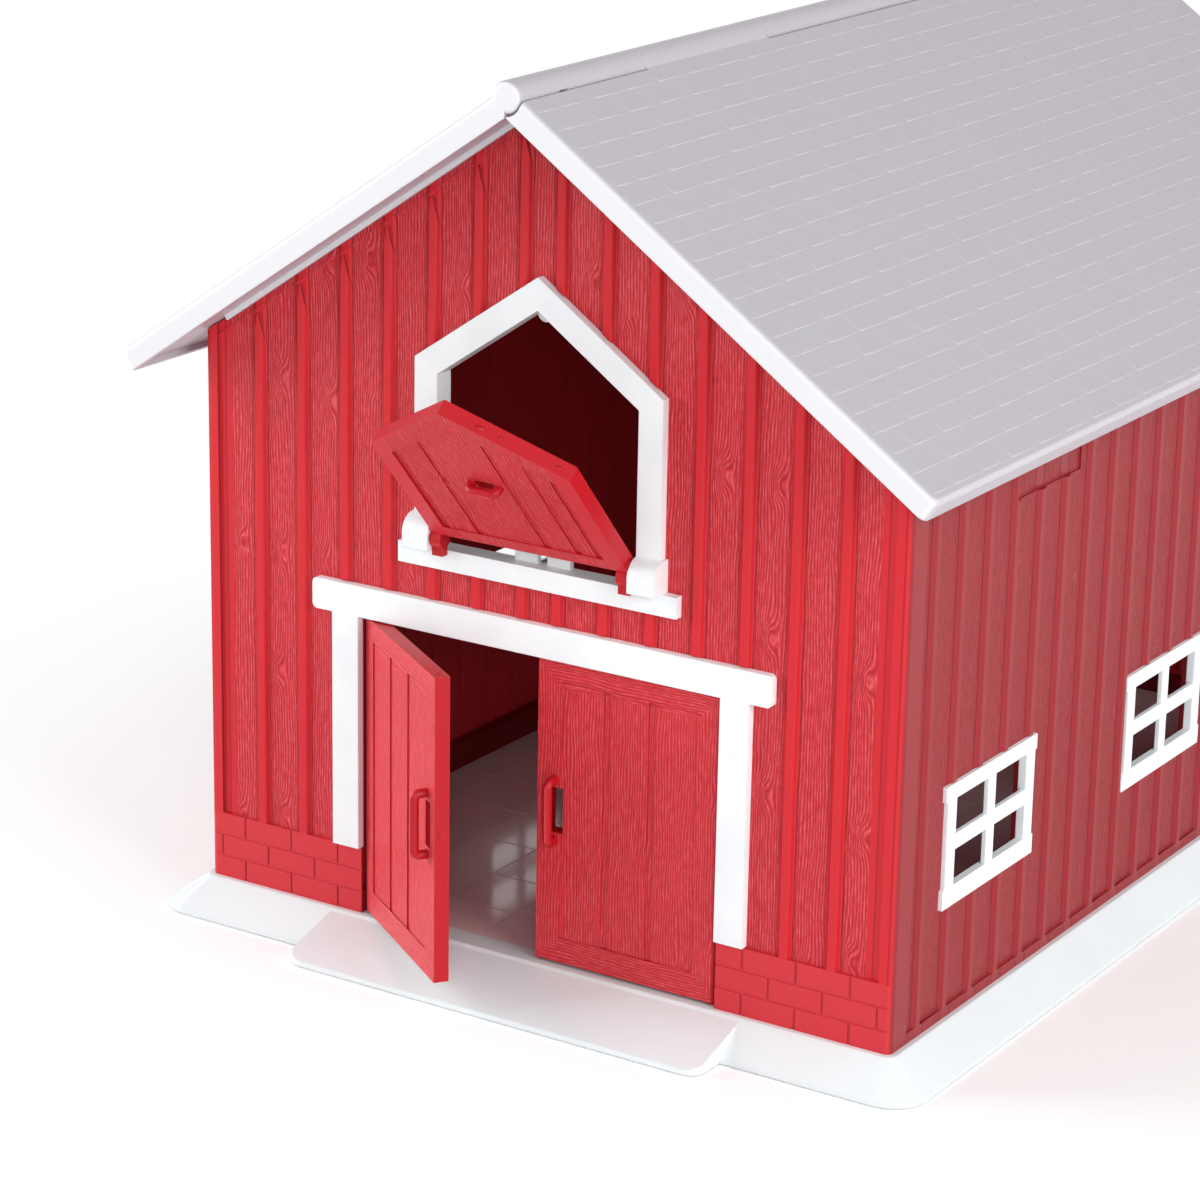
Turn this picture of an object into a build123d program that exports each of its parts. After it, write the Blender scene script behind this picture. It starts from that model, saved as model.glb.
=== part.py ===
"""Toy barn with opening doors, a drop-down hayloft door and a two-leaf lift-up roof.

Millimetres. The origin is the centre of the base tray's underside, +Z is up, the gable with the
doors faces -Y and the ridge runs along Y. The left door stands part open and the hayloft door
leans out on its heels; the right door and both roof leaves are closed.
"""
import os
from math import atan2, cos, degrees, radians, sin, tan

from build123d import *

# ---------------------------------------------------------------- driving dimensions
# walls, measured between their outer reference faces
wall_width = 230.0
wall_length = 326.0
eave_wall_height = 166.0
wall_thick = 3.4
relief = 1.0
corner_return = 9.0
corner_radius = 2.0
lap_tongue = 5.0
lap_thick = 2.0

# raised battens on the boards
batten_width = 4.6
batten_crest = 2.0
batten_pitch = 15.0
gable_first_batten = 5.9
batten_stop = 3.0
batten_tip = 9.0
rake_bead_width = 0.7
rake_bead_height = 0.4
rake_bead_drop = 1.6
inner_groove_width = 1.2
inner_groove_depth = 0.4
side_rail_height = 3.0
side_first_batten = 15.7
side_batten_pitch = 15.24

# brick plinth on the gables
plinth_height = 20.0
brick_courses = 3
brick_length = 16.9
joint_width = 0.7
joint_depth = 0.3

# base tray
base_height = 9.5
skirt_reach = 12.5
skirt_top_reach = 1.5
skirt_foot_radius = 11.0
skirt_top_radius = 3.0
skirt_edge = 1.2
tray_thick = 2.6
tile_pitch = 23.0
tile_joint = 0.4
tile_joint_depth = 0.15
ramp_overlap = 9.5
ramp_reach = 24.6
ramp_lip = 1.8
ramp_corner = 5.0

# foot rails inside the walls, and the screws that hold them to the tray
foot_rail_width = 4.8
foot_rail_height = 8.0
screw_radius = 1.25
screw_head_radius = 2.9
screw_head_height = 2.0
screw_bite = 6.0
boss_radius = 4.2
screw_head_recess = 2.0
screw_inset = 42.0

# doorway and its two leaves
doorway_width = 120.0
doorway_height = 91.0
leaf_thick = 4.4
leaf_set_back = 0.6
leaf_stile = 7.8
leaf_top_rail = 5.8
leaf_bottom_rail = 7.4
leaf_planks = 3
panel_sink = 0.4
panel_back_sink = 1.2
groove_width = 2.2
groove_depth = 0.4
door_pin_radius = 1.1
door_pin_length = 3.6
left_leaf_open = 35.0
stop_half_width = 8.0
stop_drop = 1.8
stop_thick = 2.2
pivot_lug = 9.0

# door handles
handle_length = 20.8
handle_height = 46.4
handle_edge_distance = 5.9
handle_bar_radius = 1.35
handle_reach = 5.2
handle_bend = 1.6
handle_slot_width = 5.0
handle_slot_length = 13.4
catch_bead_radius = 1.1
catch_bead_proud = 0.3
catch_bead_height = 44.5

# door surround
surround_proud = 1.5
jamb_width = 9.1
lintel_height = 9.2
lintel_overhang = 6.9
lintel_corner = 1.6

# hayloft frame
hay_sill_above_lintel = 10.2
hay_sill_height = 6.1
hay_sill_overhang = 4.5
hay_frame_proud = 1.8
hay_frame_band = 7.6
hay_clear_half_width = 32.7
hay_clear_height = 72.3
hay_sleeve_thick = 1.6
hay_sleeve_reach = 0.4
ear_width = 8.6
ear_reach = 6.3
ear_height = 9.4
ear_round = 5.4
sill_lug_width = 7.5
sill_lug_gap = 3.2
sill_lug_height = 2.6
sill_lug_thick = 1.8
sill_lug_depth = 2.3
nib_radius = 2.6

# hayloft door
hay_pivot_reach = 3.2
hay_pivot_rise = 3.5
hay_door_thick = 4.6
hay_door_open = 42.0
hay_door_base = 2.3
hay_stile = 5.6
hay_bottom_rail = 4.6
hay_grooves = (-25.2, -13.8, 8.3, 18.4, 25.2)
hay_knuckle_radius = 2.6
hay_knuckle_width = 3.6
hay_heel_reach = 4.8
hay_pin_radius = 1.1
hay_pin_length = 4.4
hay_handle_height = 34.3
hay_handle_length = 11.6
hay_handle_reach = 3.4
hay_slot_length = 6.2
hay_slot_height = 3.0
tongue_width = 2.0
tongue_length = 5.2
tongue_thick = 1.8

# side windows
window_pitch = 112.3
window_shift = 2.4
windows_per_side = 3
window_width = 52.0
window_height = 35.7
window_bottom = 33.0
window_proud = 0.3
window_bar_overhang = 0.9
window_jamb = 5.2
window_head = 4.5
window_sill = 5.8
window_muntin = 4.6
window_sleeve_thick = 1.5
window_sleeve_length = 1.1

# lifting recesses at the top of the side walls
recess_width = 40.0
recess_bottom = 140.5
recess_depth = 1.7
recess_from_end = 81.0

# roof
roof_pitch = 34.5
gable_overhang = 18.3
eave_overhang = 12.6
roof_skin = 2.6
roof_rim_thick = 5.2
roof_above_axis = 2.4
fascia_drop = 1.5
fascia_thick = 2.2
rib_thick = 1.6
rib_start = 8.0
rib_back_off = 2.0
roof_bays = 5
roof_bay_rib = 2.0
roof_bay_start = 10.0
roof_bay_margin = 3.0
barrel_radius = 4.5
barrel_cap = 1.6
barrel_round = 1.5
rim_round = 1.6
eave_round = 2.4
knuckle_end_length = 62.0
knuckle_next_length = 65.0
rod_radius = 1.5
rod_end_inset = 2.0
saddle_radius = 3.0
saddle_neck = 2.4
cap_edge_angle = -4.0

# clearances
seat_gap = 0.3
running_gap = 0.06
leaf_gap = 0.4
leaf_floor_gap = 0.9
knuckle_gap = 0.4
barrel_gap = 0.5
hay_door_gap = 0.8
sleeve_gap = 0.2
screw_gap = 0.04

# ---------------------------------------------------------------- derived places
half_width = wall_width / 2
half_length = wall_length / 2
slope = radians(roof_pitch)
roof_below_axis = roof_rim_thick - roof_above_axis
roof_seat = roof_below_axis + seat_gap
fascia_bottom = roof_below_axis + fascia_drop
ridge_z = base_height + eave_wall_height + half_width * tan(slope) + roof_seat / cos(slope)
wall_inner = relief + wall_thick
rail_inner = wall_inner + foot_rail_width
roof_half_length = half_length + gable_overhang
roof_run = (half_width + eave_overhang + fascia_bottom * sin(slope)) / cos(slope)
batten_taper = degrees(atan2((batten_width - batten_crest) / 2, relief))

doorway_top = base_height + doorway_height
lintel_half_length = doorway_width / 2 + jamb_width + lintel_overhang
ramp_width = doorway_width + 2 * ramp_overlap
leaf_pivot_x = doorway_width / 2 - seat_gap - leaf_thick / 2
leaf_pivot_depth = leaf_set_back + leaf_thick / 2
leaf_reach = leaf_pivot_x - leaf_gap
leaf_bottom = base_height + leaf_floor_gap
leaf_top = doorway_top - leaf_gap
door_pivots = [(side * leaf_pivot_x, leaf_pivot_depth - half_length) for side in (-1, 1)]

hay_sill_top = doorway_top + lintel_height + hay_sill_above_lintel + hay_sill_height
hay_pivot_z = hay_sill_top + hay_pivot_rise
hay_clear_top = hay_sill_top + hay_clear_height
ear_outer_half_width = hay_clear_half_width + ear_width
hay_sill_half_length = ear_outer_half_width + hay_sill_overhang

gable_screw_x = (doorway_width / 2 + half_width) / 2
gable_screw_y = half_length - rail_inner + foot_rail_width / 2
side_screw_x = half_width - rail_inner + foot_rail_width / 2
front_screws = [(sign * gable_screw_x, -gable_screw_y) for sign in (-1, 1)]
rear_screws = [(sign * gable_screw_x, gable_screw_y) for sign in (-1, 1)]
left_screws = [(-side_screw_x, step * (half_length - screw_inset)) for step in (-1, 0, 1)]
right_screws = [(side_screw_x, y) for x, y in left_screws]
all_screws = front_screws + rear_screws + left_screws + right_screws


# ---------------------------------------------------------------- planes and outlines
def roof_line(x, below_axis):
    """Height at x of a line along the roof's slope, a distance below the ridge axis."""
    return ridge_z - below_axis / cos(slope) - abs(x) * tan(slope)


def gable_plane(outward, depth):
    """Plane facing out of a gable, a depth inside its reference face; outward is -1 or 1 along Y."""
    place = Vector(0, outward * (half_length - depth), 0)
    return Plane(origin=place, x_dir=(-outward, 0, 0), z_dir=(0, outward, 0))


def side_plane(side, depth):
    """Plane facing out of a side wall, a depth inside its reference face; side is -1 or 1 along X."""
    place = Vector(side * (half_width - depth), 0, 0)
    return Plane(origin=place, x_dir=(0, side, 0), z_dir=(side, 0, 0))


def roof_plane(side, y):
    """Plane across the ridge at y: local X runs down the slope, local Y stands out of the leaf."""
    down_slope = (side * cos(slope), 0, -sin(slope))
    return Plane(origin=(0, y, ridge_z), x_dir=down_slope, z_dir=(0, -side, 0))


def door_plane(side, opened, depth):
    """Plane of a front door through its pivot, moved out of the door by depth."""
    turn = radians(side * opened)
    outward = Vector(sin(turn), -cos(turn), 0)
    pivot = Vector(side * leaf_pivot_x, leaf_pivot_depth - half_length, 0)
    return Plane(origin=pivot + outward * depth, x_dir=(cos(turn), sin(turn), 0), z_dir=outward)


def hay_plane(depth):
    """Plane of the leaning hayloft door, moved out of it by depth; local Y is the height when shut."""
    lean = radians(hay_door_open)
    outward = Vector(0, -cos(lean), -sin(lean))
    upward = Vector(0, -sin(lean), cos(lean))
    pivot = Vector(0, -half_length - hay_pivot_reach, hay_pivot_z)
    foot = pivot + outward * depth - upward * hay_pivot_z
    return Plane(origin=foot, x_dir=(1, 0, 0), z_dir=outward)


def block(low_x, low_y, high_x, high_y, mode=Mode.ADD):
    """A rectangle between two corners, in the sketch that is open."""
    with Locations(((low_x + high_x) / 2, (low_y + high_y) / 2)):
        Rectangle(abs(high_x - low_x), abs(high_y - low_y), mode=mode)


def hay_outline(margin, bottom, mode=Mode.ADD):
    """The hayloft's gabled outline, grown by a margin above its bottom, in the open sketch."""
    half = hay_clear_half_width + margin
    apex = hay_clear_top + margin / cos(slope)
    shoulder = apex - half * tan(slope)
    corners = [(-half, bottom), (half, bottom), (half, shoulder), (0, apex), (-half, shoulder)]
    Polygon(*corners, align=None, mode=mode)


def pitched(count, pitch):
    """Evenly pitched places about zero."""
    return [(index - (count - 1) / 2) * pitch for index in range(count)]


def pin_holes(places, level, radius, amount):
    """Upright blind holes from a level, in the part that is open; a negative amount goes down."""
    with BuildSketch(Plane.XY.offset(level)) as holes:
        with Locations(places):
            Circle(radius)
    extrude(holes.sketch, amount=amount, mode=Mode.SUBTRACT)


# ---------------------------------------------------------------- base tray
with BuildPart() as base_tray:
    foot = (wall_width + 2 * skirt_reach, wall_length + 2 * skirt_reach)
    rim = (wall_width + 2 * skirt_top_reach, wall_length + 2 * skirt_top_reach)
    # skirt: a low upright edge, then a slope in to the feet of the walls
    with BuildSketch():
        RectangleRounded(*foot, skirt_foot_radius)
    extrude(amount=skirt_edge)
    with BuildSketch(Plane.XY.offset(skirt_edge)):
        RectangleRounded(*foot, skirt_foot_radius)
    with BuildSketch(Plane.XY.offset(base_height)):
        RectangleRounded(*rim, skirt_top_radius)
    loft()
    # hollow underside
    with BuildSketch():
        RectangleRounded(
            foot[0] - 2 * tray_thick, foot[1] - 2 * tray_thick, skirt_foot_radius - tray_thick
        )
    with BuildSketch(Plane.XY.offset(base_height - tray_thick)):
        RectangleRounded(rim[0] - 4 * tray_thick, rim[1] - 4 * tray_thick, skirt_top_radius)
    loft(mode=Mode.SUBTRACT)
    # ramp up to the doorway
    with BuildSketch(Plane.YZ.offset(-ramp_width / 2)):
        toe = -half_length - ramp_reach
        Polygon((-half_length, 0), (-half_length, base_height), (toe, ramp_lip), (toe, 0), align=None)
    extrude(amount=ramp_width)
    ramp_toe = base_tray.edges().filter_by(Axis.Z).group_by(Axis.Y)[0]
    fillet(ramp_toe, ramp_corner)
    # bosses round the doors' lower sockets and the screws
    with BuildSketch(Plane.XY.offset(screw_head_recess)):
        with Locations(door_pivots + all_screws):
            Circle(boss_radius)
    extrude(amount=base_height - screw_head_recess)
    pin_holes(door_pivots, base_height, door_pin_radius + running_gap, -door_pin_length - seat_gap)
    pin_holes(all_screws, 0, screw_radius + screw_gap, base_height)
    pin_holes(all_screws, 0, screw_head_radius + seat_gap, screw_head_recess + screw_head_height)
    # joints between the floor tiles
    floor = (wall_width - 2 * rail_inner, wall_length - 2 * rail_inner)
    with BuildSketch(Plane.XY.offset(base_height)):
        for place in pitched(int(floor[0] // tile_pitch), tile_pitch):
            block(place - tile_joint / 2, -floor[1] / 2, place + tile_joint / 2, floor[1] / 2)
        for place in pitched(int(floor[1] // tile_pitch), tile_pitch):
            block(-floor[0] / 2, place - tile_joint / 2, floor[0] / 2, place + tile_joint / 2)
    extrude(amount=-tile_joint_depth, mode=Mode.SUBTRACT)

screw_seat = screw_head_recess + screw_head_height
with BuildPart() as base_screws:
    with BuildSketch(Plane.XY.offset(screw_head_recess)):
        with Locations(all_screws):
            Circle(screw_head_radius)
    extrude(amount=screw_head_height)
    with BuildSketch(Plane.XY.offset(screw_seat)):
        with Locations(all_screws):
            Circle(screw_radius)
    extrude(amount=base_height + screw_bite - screw_seat)


# ---------------------------------------------------------------- gables
def gable_battens():
    """X places of a gable's battens: a close pair at the middle, then the pitch out to the corners."""
    room = half_width - wall_inner - batten_width - gable_first_batten
    count = int(room // batten_pitch) + 1
    places = [gable_first_batten + index * batten_pitch for index in range(count)]
    return [sign * place for place in places for sign in (-1, 1)]


def brick_joints(course, clear_half):
    """X places of a course's upright joints beyond a clear half width, broken from course to course."""
    whole_brick = brick_length if clear_half > 0 else 0
    start = clear_half + (brick_length / 2 if course % 2 == 0 else whole_brick)
    count = int((half_width - corner_radius - joint_width - start) // brick_length) + 1
    places = [start + index * brick_length for index in range(count)]
    return [sign * place for place in places for sign in (-1, 1)]


def gable_wall(outward, clear_half):
    """Boards, battens, brick plinth, corner returns, foot rail and rod saddle of one gable."""
    course = plinth_height / brick_courses
    with BuildPart() as wall:
        # boards up to just under the roof
        with BuildSketch(gable_plane(outward, wall_inner)):
            Polygon(
                (-half_width, base_height),
                (half_width, base_height),
                (half_width, roof_line(half_width, roof_seat)),
                (0, roof_line(0, roof_seat)),
                (-half_width, roof_line(half_width, roof_seat)),
                align=None,
            )
        extrude(amount=wall_thick)
        # battens, cut to points along the slope below the roof's locating rib
        with BuildSketch(gable_plane(outward, relief)):
            for place in gable_battens():
                block(place - batten_width / 2, base_height, place + batten_width / 2, ridge_z)
        extrude(amount=relief, taper=batten_taper)
        with BuildSketch(gable_plane(outward, relief)):
            stop = fascia_bottom + batten_stop
            skyline = [(-half_width, roof_line(half_width, stop))]
            for place in sorted(gable_battens()):
                tip = roof_line(place, stop)
                skyline.append((place - batten_width / 2, tip - batten_tip))
                skyline.append((place, tip))
                skyline.append((place + batten_width / 2, tip - batten_tip))
            skyline.append((half_width, roof_line(half_width, stop)))
            Polygon(*skyline, (half_width, 2 * ridge_z), (-half_width, 2 * ridge_z), align=None)
        extrude(amount=relief, mode=Mode.SUBTRACT)
        # bead along the rake, just above the battens' points
        with BuildSketch(gable_plane(outward, relief)):
            bead_high = fascia_bottom + rake_bead_drop
            bead_low = bead_high + rake_bead_width
            Polygon(
                (-half_width, roof_line(half_width, bead_low)),
                (0, roof_line(0, bead_low)),
                (half_width, roof_line(half_width, bead_low)),
                (half_width, roof_line(half_width, bead_high)),
                (0, roof_line(0, bead_high)),
                (-half_width, roof_line(half_width, bead_high)),
                align=None,
            )
        extrude(amount=rake_bead_height)
        # grooves between the boards' inner faces
        with BuildSketch(gable_plane(outward, wall_inner)):
            for place in gable_battens():
                edge = inner_groove_width / 2
                block(place - edge, base_height + foot_rail_height, place + edge, ridge_z)
        extrude(amount=inner_groove_depth, mode=Mode.SUBTRACT)
        # plinth
        with BuildSketch(gable_plane(outward, relief)):
            block(-half_width, base_height, half_width, base_height + plinth_height)
        extrude(amount=relief)
        # corner returns that wrap the side walls
        with BuildSketch(gable_plane(outward, corner_return)):
            for sign in (-1, 1):
                outer = sign * half_width
                inner = sign * (half_width - wall_inner)
                Polygon(
                    (outer, base_height), (outer, roof_line(outer, roof_seat)),
                    (inner, roof_line(inner, roof_seat)), (inner, base_height), align=None,
                )
        extrude(amount=corner_return)
        upright = wall.edges().filter_by(Axis.Z).sort_by(Axis.Y)
        face_y = outward * half_length
        arrises = [
            edge for edge in upright
            if abs(edge.center().Y - face_y) < joint_width
            and abs(edge.center().X) > half_width - joint_width
        ]
        fillet(arrises, corner_radius)
        # brick joints
        with BuildSketch(gable_plane(outward, 0)):
            for row in range(1, brick_courses):
                level = base_height + row * course
                block(-half_width, level - joint_width / 2, half_width, level + joint_width / 2)
            for row in range(brick_courses):
                bottom = base_height + row * course
                for place in brick_joints(row, clear_half):
                    block(place - joint_width / 2, bottom, place + joint_width / 2, bottom + course)
        extrude(amount=-joint_depth, mode=Mode.SUBTRACT)
        # foot rail, between the side walls' own rails
        with BuildSketch(gable_plane(outward, rail_inner)):
            reach = half_width - rail_inner - seat_gap
            block(-reach, base_height, reach, base_height + foot_rail_height)
        extrude(amount=foot_rail_width)
        # ring that carries the ridge rod, on a neck under its left side
        with BuildSketch(gable_plane(outward, wall_inner)):
            with Locations((0, ridge_z)):
                Circle(barrel_radius + knuckle_gap)
        extrude(amount=wall_thick, mode=Mode.SUBTRACT)
        with BuildSketch(gable_plane(outward, wall_inner)):
            neck_low = ridge_z - 2 * barrel_radius
            block(outward * saddle_radius, neck_low, outward * (saddle_radius - saddle_neck), ridge_z)
            with Locations((0, ridge_z)):
                Circle(saddle_radius)
                Circle(rod_radius + running_gap, mode=Mode.SUBTRACT)
        extrude(amount=wall_thick)
    return wall


with BuildPart() as front_wall:
    add(gable_wall(-1, doorway_width / 2).part)
    # doorway
    with BuildSketch(gable_plane(-1, rail_inner)):
        block(-doorway_width / 2, base_height, doorway_width / 2, doorway_top)
    extrude(amount=rail_inner, mode=Mode.SUBTRACT)
    # battens stop short of the door surround and of the hayloft frame
    with BuildSketch(gable_plane(-1, relief)):
        lintel_reach = lintel_half_length + seat_gap
        block(-lintel_reach, doorway_top, lintel_reach, doorway_top + lintel_height + seat_gap)
        jamb_reach = doorway_width / 2 + jamb_width + seat_gap
        block(-jamb_reach, base_height + plinth_height, jamb_reach, doorway_top)
        hay_outline(hay_frame_band + seat_gap, hay_sill_top)
        sill_reach = hay_sill_half_length + seat_gap
        block(-sill_reach, hay_sill_top - hay_sill_height - seat_gap, sill_reach, hay_sill_top + seat_gap)
        ear_reach_x = ear_outer_half_width + seat_gap
        block(-ear_reach_x, hay_sill_top, ear_reach_x, hay_sill_top + ear_height + seat_gap)
    extrude(amount=relief, mode=Mode.SUBTRACT)
    # hole for the hayloft frame's sleeve
    with BuildSketch(gable_plane(-1, wall_inner)):
        sleeve_hole = hay_sleeve_thick + sleeve_gap
        hay_outline(sleeve_hole, hay_sill_top - sleeve_hole)
    extrude(amount=wall_inner, mode=Mode.SUBTRACT)
    # lugs above the doorway with the doors' upper pivot holes
    lug_depth = leaf_pivot_depth + pivot_lug / 2
    with BuildSketch(gable_plane(-1, lug_depth)):
        for x, y in door_pivots:
            block(x - pivot_lug / 2, doorway_top, x + pivot_lug / 2, doorway_top + pivot_lug)
    extrude(amount=lug_depth - wall_inner)
    pin_holes(door_pivots, doorway_top, door_pin_radius + running_gap, door_pin_length)
    # stop behind the meeting edges of the doors
    stop_front = leaf_set_back + leaf_thick + seat_gap
    with BuildSketch(gable_plane(-1, stop_front + stop_thick)):
        block(-stop_half_width, doorway_top - stop_drop, stop_half_width, doorway_top + stop_drop)
    extrude(amount=stop_thick)
    with BuildSketch(gable_plane(-1, stop_front)):
        block(-stop_half_width, doorway_top, stop_half_width, doorway_top + stop_drop)
    extrude(amount=stop_front - wall_inner)
    pin_holes(front_screws, base_height, screw_radius + screw_gap, screw_bite + seat_gap)

with BuildPart() as rear_wall:
    add(gable_wall(1, 0).part)
    pin_holes(rear_screws, base_height, screw_radius + screw_gap, screw_bite + seat_gap)


# ---------------------------------------------------------------- side walls and windows
window_places = [window_shift + place for place in pitched(windows_per_side, window_pitch)]
window_low = base_height + window_bottom
window_high = window_low + window_height
pane_low = window_low + window_sill
pane_high = window_high - window_head
pane_half = window_width / 2 - window_jamb


def side_wall(side, screws):
    """Boards, battens, window openings, lifting recesses and foot rail of one side wall."""
    clear_half = half_length - corner_return - sleeve_gap
    rail_half = half_length - wall_inner - seat_gap
    batten_room = wall_length - side_first_batten - corner_return - batten_width / 2
    batten_count = int(batten_room // side_batten_pitch) + 1
    first_batten = side_first_batten - half_length
    battens = [side * (first_batten + index * side_batten_pitch) for index in range(batten_count)]
    lights = [side * place for place in window_places]
    board_x = side * (half_width - relief)
    back_x = side * (half_width - wall_inner)
    top = roof_line(half_width, roof_seat)
    recess_low = base_height + recess_bottom
    recess_places = [sign * (half_length - recess_from_end) for sign in (-1, 1)]
    with BuildPart() as wall:
        # boards, with their top edge cut to the roof's slope
        with BuildSketch(Plane.XZ.offset(-clear_half)):
            Polygon(
                (back_x, base_height), (board_x, base_height), (board_x, roof_line(board_x, roof_seat)),
                (back_x, roof_line(back_x, roof_seat)), align=None,
            )
        extrude(amount=2 * clear_half)
        # grooves between the boards' inner faces
        with BuildSketch(side_plane(side, wall_inner)):
            for place in battens:
                edge = inner_groove_width / 2
                block(place - edge, base_height + foot_rail_height, place + edge, ridge_z)
        extrude(amount=inner_groove_depth, mode=Mode.SUBTRACT)
        # battens between a bottom rail and the eave
        with BuildSketch(side_plane(side, relief)):
            for place in battens:
                block(place - batten_width / 2, base_height, place + batten_width / 2, top)
        extrude(amount=relief, taper=batten_taper)
        with BuildSketch(side_plane(side, relief)):
            block(-clear_half, base_height, clear_half, base_height + side_rail_height)
        extrude(amount=relief)
        # seats of the window frames, and the openings behind them
        with BuildSketch(side_plane(side, relief)):
            reach = window_width / 2 + window_bar_overhang + seat_gap
            for place in lights:
                block(place - reach, window_low - seat_gap, place + reach, window_high + seat_gap)
        extrude(amount=relief, mode=Mode.SUBTRACT)
        with BuildSketch(side_plane(side, wall_inner)):
            margin = window_sleeve_thick + sleeve_gap
            reach = pane_half + margin
            for place in lights:
                block(place - reach, pane_low - margin, place + reach, pane_high + margin)
        extrude(amount=wall_thick, mode=Mode.SUBTRACT)
        # shallow lifting recesses under the eave
        with BuildSketch(side_plane(side, recess_depth)):
            reach = recess_width / 2
            for place in recess_places:
                block(place - reach, recess_low, place + reach, ridge_z)
        extrude(amount=recess_depth, mode=Mode.SUBTRACT)
        # foot rail, and the tongues that lap behind the gables' corner returns
        with BuildSketch(side_plane(side, rail_inner)):
            block(-rail_half, base_height, rail_half, base_height + foot_rail_height)
        extrude(amount=foot_rail_width - sleeve_gap)
        with BuildSketch(side_plane(side, wall_inner + lap_thick)):
            lap_top = top - lap_tongue
            for sign in (-1, 1):
                block(sign * (clear_half - lap_tongue), base_height, sign * rail_half, lap_top)
        extrude(amount=lap_thick - sleeve_gap)
        with BuildSketch(side_plane(side, wall_inner + lap_thick)):
            block(-clear_half, base_height, clear_half, base_height + foot_rail_height)
            for sign in (-1, 1):
                block(sign * (clear_half - lap_tongue), base_height, sign * clear_half, lap_top)
        extrude(amount=lap_thick)
        pin_holes(screws, base_height, screw_radius + screw_gap, screw_bite + seat_gap)
    return wall


def window(side, place):
    """A two-by-two light: flange, wider head and sill bars, muntins and a sleeve in the opening."""
    with BuildPart() as frame:
        with BuildSketch(side_plane(side, relief)):
            half = window_width / 2
            bar_half = half + window_bar_overhang
            block(place - half, window_low, place + half, window_high)
            block(place - bar_half, window_low, place + bar_half, pane_low)
            block(place - bar_half, pane_high, place + bar_half, window_high)
            block(place - pane_half, pane_low, place + pane_half, pane_high, mode=Mode.SUBTRACT)
            middle = (pane_low + pane_high) / 2
            bar = window_muntin / 2
            block(place - bar, pane_low, place + bar, pane_high)
            block(place - pane_half, middle - bar, place + pane_half, middle + bar)
        extrude(amount=relief + window_proud)
        with BuildSketch(side_plane(side, relief + window_sleeve_length)):
            outer = pane_half + window_sleeve_thick
            low = pane_low - window_sleeve_thick
            high = pane_high + window_sleeve_thick
            block(place - outer, low, place + outer, high)
            block(place - pane_half, pane_low, place + pane_half, pane_high, mode=Mode.SUBTRACT)
        extrude(amount=window_sleeve_length)
    return frame


left_wall = side_wall(-1, left_screws)
right_wall = side_wall(1, right_screws)
side_windows = {}
for side_name, side in (("left", -1), ("right", 1)):
    for number, y in enumerate(window_places, start=1):
        side_windows[f"window_{side_name}_{number}"] = window(side, side * y)

# ---------------------------------------------------------------- door surround
with BuildPart() as door_surround:
    with BuildSketch(gable_plane(-1, relief)):
        block(-lintel_half_length, doorway_top, lintel_half_length, doorway_top + lintel_height)
        for side in (-1, 1):
            inner = side * doorway_width / 2
            outer = inner + side * jamb_width
            block(inner, base_height + plinth_height + seat_gap, outer, doorway_top)
    extrude(amount=relief + surround_proud)
    across = door_surround.edges().filter_by(Axis.Y)
    fillet(across.group_by(Axis.X)[0] + across.group_by(Axis.X)[-1], lintel_corner)

# ---------------------------------------------------------------- hayloft frame
with BuildPart() as hayloft_frame:
    # gabled band and its sill, on the boards
    with BuildSketch(gable_plane(-1, relief)):
        hay_outline(hay_frame_band, hay_sill_top)
        sill_low = hay_sill_top - hay_sill_height
        block(-hay_sill_half_length, sill_low, hay_sill_half_length, hay_sill_top)
        hay_outline(0, hay_sill_top, mode=Mode.SUBTRACT)
    extrude(amount=relief + hay_frame_proud)
    # sleeve through the wall
    with BuildSketch(gable_plane(-1, wall_inner + hay_sleeve_reach)):
        hay_outline(hay_sleeve_thick, hay_sill_top - hay_sleeve_thick)
        hay_outline(0, hay_sill_top, mode=Mode.SUBTRACT)
    extrude(amount=wall_thick + hay_sleeve_reach)
    # rounded ears that hold the door's pins
    pivot_y = -half_length - hay_pivot_reach
    ear_front = -half_length - ear_reach
    ear_top = hay_sill_top + ear_height
    for side in (-1, 1):
        with BuildSketch(Plane.YZ.offset(side * hay_clear_half_width)):
            with BuildLine():
                Polyline(
                    (ear_front, ear_top - ear_round), (ear_front, hay_sill_top),
                    (relief - half_length, hay_sill_top), (relief - half_length, ear_top),
                    (ear_front + ear_round, ear_top),
                )
                RadiusArc((ear_front + ear_round, ear_top), (ear_front, ear_top - ear_round), -ear_round)
            make_face()
        extrude(amount=side * (ear_outer_half_width - hay_clear_half_width))
        with BuildSketch(Plane.YZ.offset(side * hay_clear_half_width)):
            with Locations((pivot_y, hay_pivot_z)):
                Circle(hay_pin_radius + running_gap)
        extrude(amount=side * hay_pin_length, mode=Mode.SUBTRACT)
    # pair of lugs on the sill behind the door, and the catch nib under the point
    lug_back = sill_lug_depth + sill_lug_thick
    with BuildSketch(gable_plane(-1, lug_back)):
        for side in (-1, 1):
            inner = side * sill_lug_gap / 2
            outer = inner + side * sill_lug_width
            block(inner, hay_sill_top, outer, hay_sill_top + sill_lug_height)
    extrude(amount=sill_lug_thick)
    with BuildSketch(gable_plane(-1, lug_back)):
        with Locations((0, hay_clear_top - nib_radius / 2)):
            Circle(nib_radius)
    extrude(amount=sill_lug_thick)


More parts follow.
